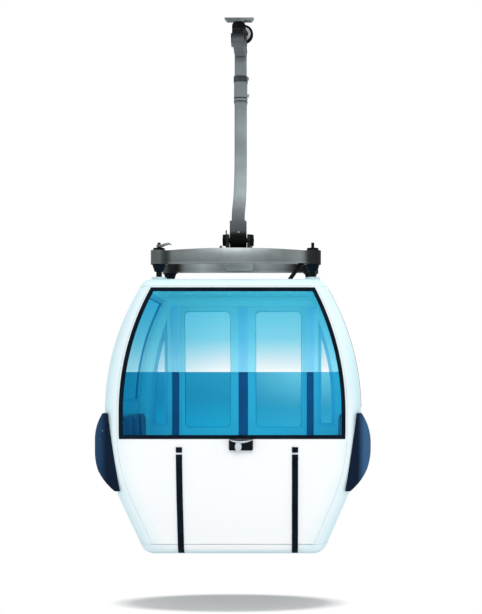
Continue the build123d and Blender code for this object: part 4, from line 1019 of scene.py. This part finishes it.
def hex_bolt(name, place):
    """A hexagon head with a washer under it, standing out towards +X."""
    start_piece()
    radius = BOLT_ACROSS / 2 / cos(pi / 6)
    bpy.ops.mesh.primitive_cylinder_add(
        vertices=6, radius=radius, depth=BOLT_HEIGHT, rotation=(0, radians(90), 0),
        location=(place[0] + BOLT_HEIGHT / 2, place[1], place[2]))
    piece = bpy.context.object
    piece.name = name
    bpy.ops.object.transform_apply()
    bpy.ops.object.mode_set(mode="EDIT")
    chosen_faces(piece, lambda centre, normal: normal.x > SQUARE_ON)
    for inward, rise in (BOLT_CHAMFER, BOLT_DISH):
        bpy.ops.mesh.inset(thickness=radius * inward, depth=radius * rise)
    chosen_faces(piece, lambda centre, normal: normal.x < -SQUARE_ON)
    bpy.ops.mesh.inset(thickness=-radius * WASHER_REACH)
    bpy.ops.mesh.extrude_region_move(TRANSFORM_OT_translate={"value": (-WASHER, 0, 0)})
    bpy.ops.object.mode_set(mode="OBJECT")
    finish_piece(piece, bright_steel, "hanger")


for number, level in enumerate(SLEEVE_BOLTS):
    hex_bolt(f"sleeve_bolt_{number}", (SLEEVE[1].x + STRAP, SLEEVE_MIDDLE_Y, level))

# ---- Beam fittings ----
# A hooked cast lever on the near left post locks its cap, and two nuts on each beam clamp
# the cross member.
LEVER_FOOT = (-0.642, -0.375, -1.862)
LEVER_BLOCK = (0.04, 0.04, 0.022)
# how far each length of the lever goes out and up, and the share it narrows to
LEVER_LENGTHS = ((0.03, 0.012, 0.85), (0.035, 0.008, 0.8), (0.02, -0.012, 0.45))
LEVER_EDGE = 0.003
TIP_NEAR = 0.0005  # how near the tip a face lies to be the tip
BEAM_Y = 0.375
CLAMP_NUTS = (-0.125, 0.125)  # places along each beam
NUT_STEPS = ((0.019, 0.003), (0.0145, 0.012), (0.007, 0.009))

start_piece()
bpy.ops.mesh.primitive_cube_add(size=1, location=LEVER_FOOT)
lever = bpy.context.object
lever.name = "post_lever"
lever.scale = LEVER_BLOCK
bpy.ops.object.transform_apply()
bpy.ops.object.mode_set(mode="EDIT")
for reach, rise, narrow in LEVER_LENGTHS:
    tip = max(vertex.co.x for vertex in bmesh.from_edit_mesh(lever.data).verts)
    chosen_faces(lever, lambda place, normal: place.x > tip - TIP_NEAR)
    bpy.ops.mesh.extrude_region_move(TRANSFORM_OT_translate={"value": (reach, 0, rise)})
    bpy.ops.transform.resize(value=(1, narrow, narrow))
bpy.ops.object.mode_set(mode="OBJECT")
soften = lever.modifiers.new("soften", "BEVEL")
soften.width = LEVER_EDGE
soften.segments = 2
apply_all(lever)
finish_piece(lever, worn_plate, "cabin")

for row, beam_y in enumerate((-BEAM_Y, BEAM_Y)):
    for number, across in enumerate(CLAMP_NUTS):
        hits = [surface_at(node, (across, beam_y, 0), (0, 0, -1))
                for node in ("cross_member", "suspension_beam_front", "suspension_beam_rear")]
        top = max((place for place in hits if place is not None), key=lambda place: place.z)
        turned_piece(f"clamp_nut_{row}_{number}", top, (0, 0, 1), NUT_STEPS, 6, strap_steel,
                     "cabin")

# ---- Bumper plugs ----
# Each pad is held by two rows of sunk bolts, and a rubber plug with a low raised middle closes
# the hole over each bolt's head.
PLUG_ROWS = (0.24, 0.76)  # shares of the pad's height
PLUG_PLACES = (-0.66, -0.22, 0.22, 0.66)
PLUG_STEPS = ((0.017, 0.002), (0.013, 0.0006))
PLUG_SUNK = 0.0012

for side, outward in (("left", -1), ("right", 1)):
    pad_low, pad_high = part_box("bumper_" + side)
    for row, share in enumerate(PLUG_ROWS):
        level = pad_low.z + (pad_high.z - pad_low.z) * share
        for number, across in enumerate(PLUG_PLACES):
            foot = surface_at("bumper_" + side, (outward * 2, across, level), (-outward, 0, 0))
            foot.x -= outward * PLUG_SUNK
            turned_piece(f"bumper_plug_{side}_{row}_{number}", foot, (outward, 0, 0),
                         PLUG_STEPS, 24, seal_rubber, "cabin")

# ---- Studio ----
# White paper that runs into the backdrop, soft lamps, and a camera level with the middle
# of the window.
EYE = (0.448, -8.515, -2.915)
FOCAL_PX = 974
IMAGE_HEIGHT = 614
SENSOR = 36.0
AXIS_PX = (289.5, 372.0)
IMAGE_CENTRE = (241.0, 307.0)
FLOOR_DROP = 0.56
FLOOR_SIZE = 60
PAPER = 1.0
FLOOR_GLOW = 0.12
SHADOW_MIDDLE = (-0.075, 0.01)
SHADOW_SPREAD = (1.06, 0.36, 1)  # half sizes within which the paper takes the shadow
SHADOW_FADE = (0.78, 1.0)  # shares of them between which it fades
LAMPS = (  # name, place, aim, size, power, colour
    ("front_box", (0.5, -7.5, 0.2), (0, 0, -3.0), 5.0, 245, (1, 1, 1)),
    ("left_box", (-6.5, -2.0, -1.5), (0, 0, -3.0), 3.5, 60, (0.95, 0.98, 1)),
    ("right_box", (6.5, -2.0, -1.5), (0, 0, -3.0), 3.5, 60, (0.95, 0.98, 1)),
    ("cabin_lamp", (0.3, -0.6, -3.0), (0, 0.8, -3.1), 1.3, 14, (1, 1, 1)),
    ("top_box", (1.6, 0.3, 6.0), (0, 0, -4.0), 1.6, 420, (1, 1, 1)))

camera_data = bpy.data.cameras.new("camera")
camera_data.sensor_width = SENSOR
camera_data.lens = FOCAL_PX * SENSOR / IMAGE_HEIGHT
camera_data.shift_x = (IMAGE_CENTRE[0] - AXIS_PX[0]) / IMAGE_HEIGHT
camera_data.shift_y = (AXIS_PX[1] - IMAGE_CENTRE[1]) / IMAGE_HEIGHT
camera = bpy.data.objects.new("camera", camera_data)
camera.location = EYE
camera.rotation_euler = (radians(90), 0, 0)
bpy.context.scene.collection.objects.link(camera)
bpy.context.scene.camera = camera
bpy.context.scene.view_settings.view_transform = "Standard"


def seen_directly(tree):
    """1 for what the camera sees, itself or through glass and in gloss."""
    path = tree.nodes.new("ShaderNodeLightPath")
    mirrored = sums("MAXIMUM", path.outputs["Is Glossy Ray"], path.outputs["Is Transmission Ray"])
    return sums("MAXIMUM", path.outputs["Is Camera Ray"], mirrored)


world = bpy.data.worlds.new("studio")
bpy.context.scene.world = world
world.use_nodes = True
sky = world.node_tree
soft = sky.nodes["Background"]
soft.inputs["Color"].default_value = (0.97, 0.985, 1.0, 1)
soft.inputs["Strength"].default_value = 0.52
white = sky.nodes.new("ShaderNodeBackground")
white.inputs["Color"].default_value = (PAPER, PAPER, PAPER, 1)
white.inputs["Strength"].default_value = 1.0
surface_of(blend_shaders(seen_directly(sky), soft, white))


def soft_lamp(name, place, aim, size, power, colour):
    """A square soft box that points at a place."""
    data = bpy.data.lights.new(name, "AREA")
    data.size = size
    data.energy = power
    data.color = colour
    lamp = bpy.data.objects.new(name, data)
    lamp.location = place
    lamp.rotation_euler = (Vector(aim) - Vector(place)).to_track_quat("-Z", "Y").to_euler()
    lamp.visible_camera = False
    lamp.visible_glossy = False
    lamp.visible_transmission = False
    bpy.context.scene.collection.objects.link(lamp)


for lamp in LAMPS:
    soft_lamp(*lamp)
floor_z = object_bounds()[0].z - FLOOR_DROP


def studio_paper():
    """White paper that keeps the shadow near the object and runs into the backdrop."""
    material, shader, coords = new_finish("studio_paper")
    shader.inputs["Base Color"].default_value = (0.9, 0.9, 0.9, 1)
    shader.inputs["Roughness"].default_value = 0.9
    shader.inputs["Specular IOR Level"].default_value = 0.0
    tree = material.node_tree
    near = tree.nodes.new("ShaderNodeBsdfDiffuse")
    near.inputs["Color"].default_value = (0.7, 0.7, 0.7, 1)
    glow = tree.nodes.new("ShaderNodeEmission")
    glow.inputs["Strength"].default_value = FLOOR_GLOW
    lit = tree.nodes.new("ShaderNodeAddShader")
    feed(lit.inputs[0], near.outputs[0])
    feed(lit.inputs[1], glow.outputs[0])
    plain = tree.nodes.new("ShaderNodeEmission")
    plain.inputs["Strength"].default_value = PAPER
    flat = vector_sum("SUBTRACT", coords, (*SHADOW_MIDDLE, floor_z))
    scaled = vector_sum("DIVIDE", flat.outputs[0], SHADOW_SPREAD)
    reach = vector_sum("LENGTH", scaled.outputs[0]).outputs["Value"]
    away = spread(reach, SHADOW_FADE)
    seen = blend_shaders(away, lit, plain)
    surface_of(blend_shaders(seen_directly(tree), shader, seen))
    return material


start_piece()
bpy.ops.mesh.primitive_plane_add(size=FLOOR_SIZE, location=(0, 0, floor_z))
bpy.ops.object.transform_apply()
studio_floor = bpy.context.object
studio_floor.name = "studio_floor"
studio_floor.data.materials.append(studio_paper())
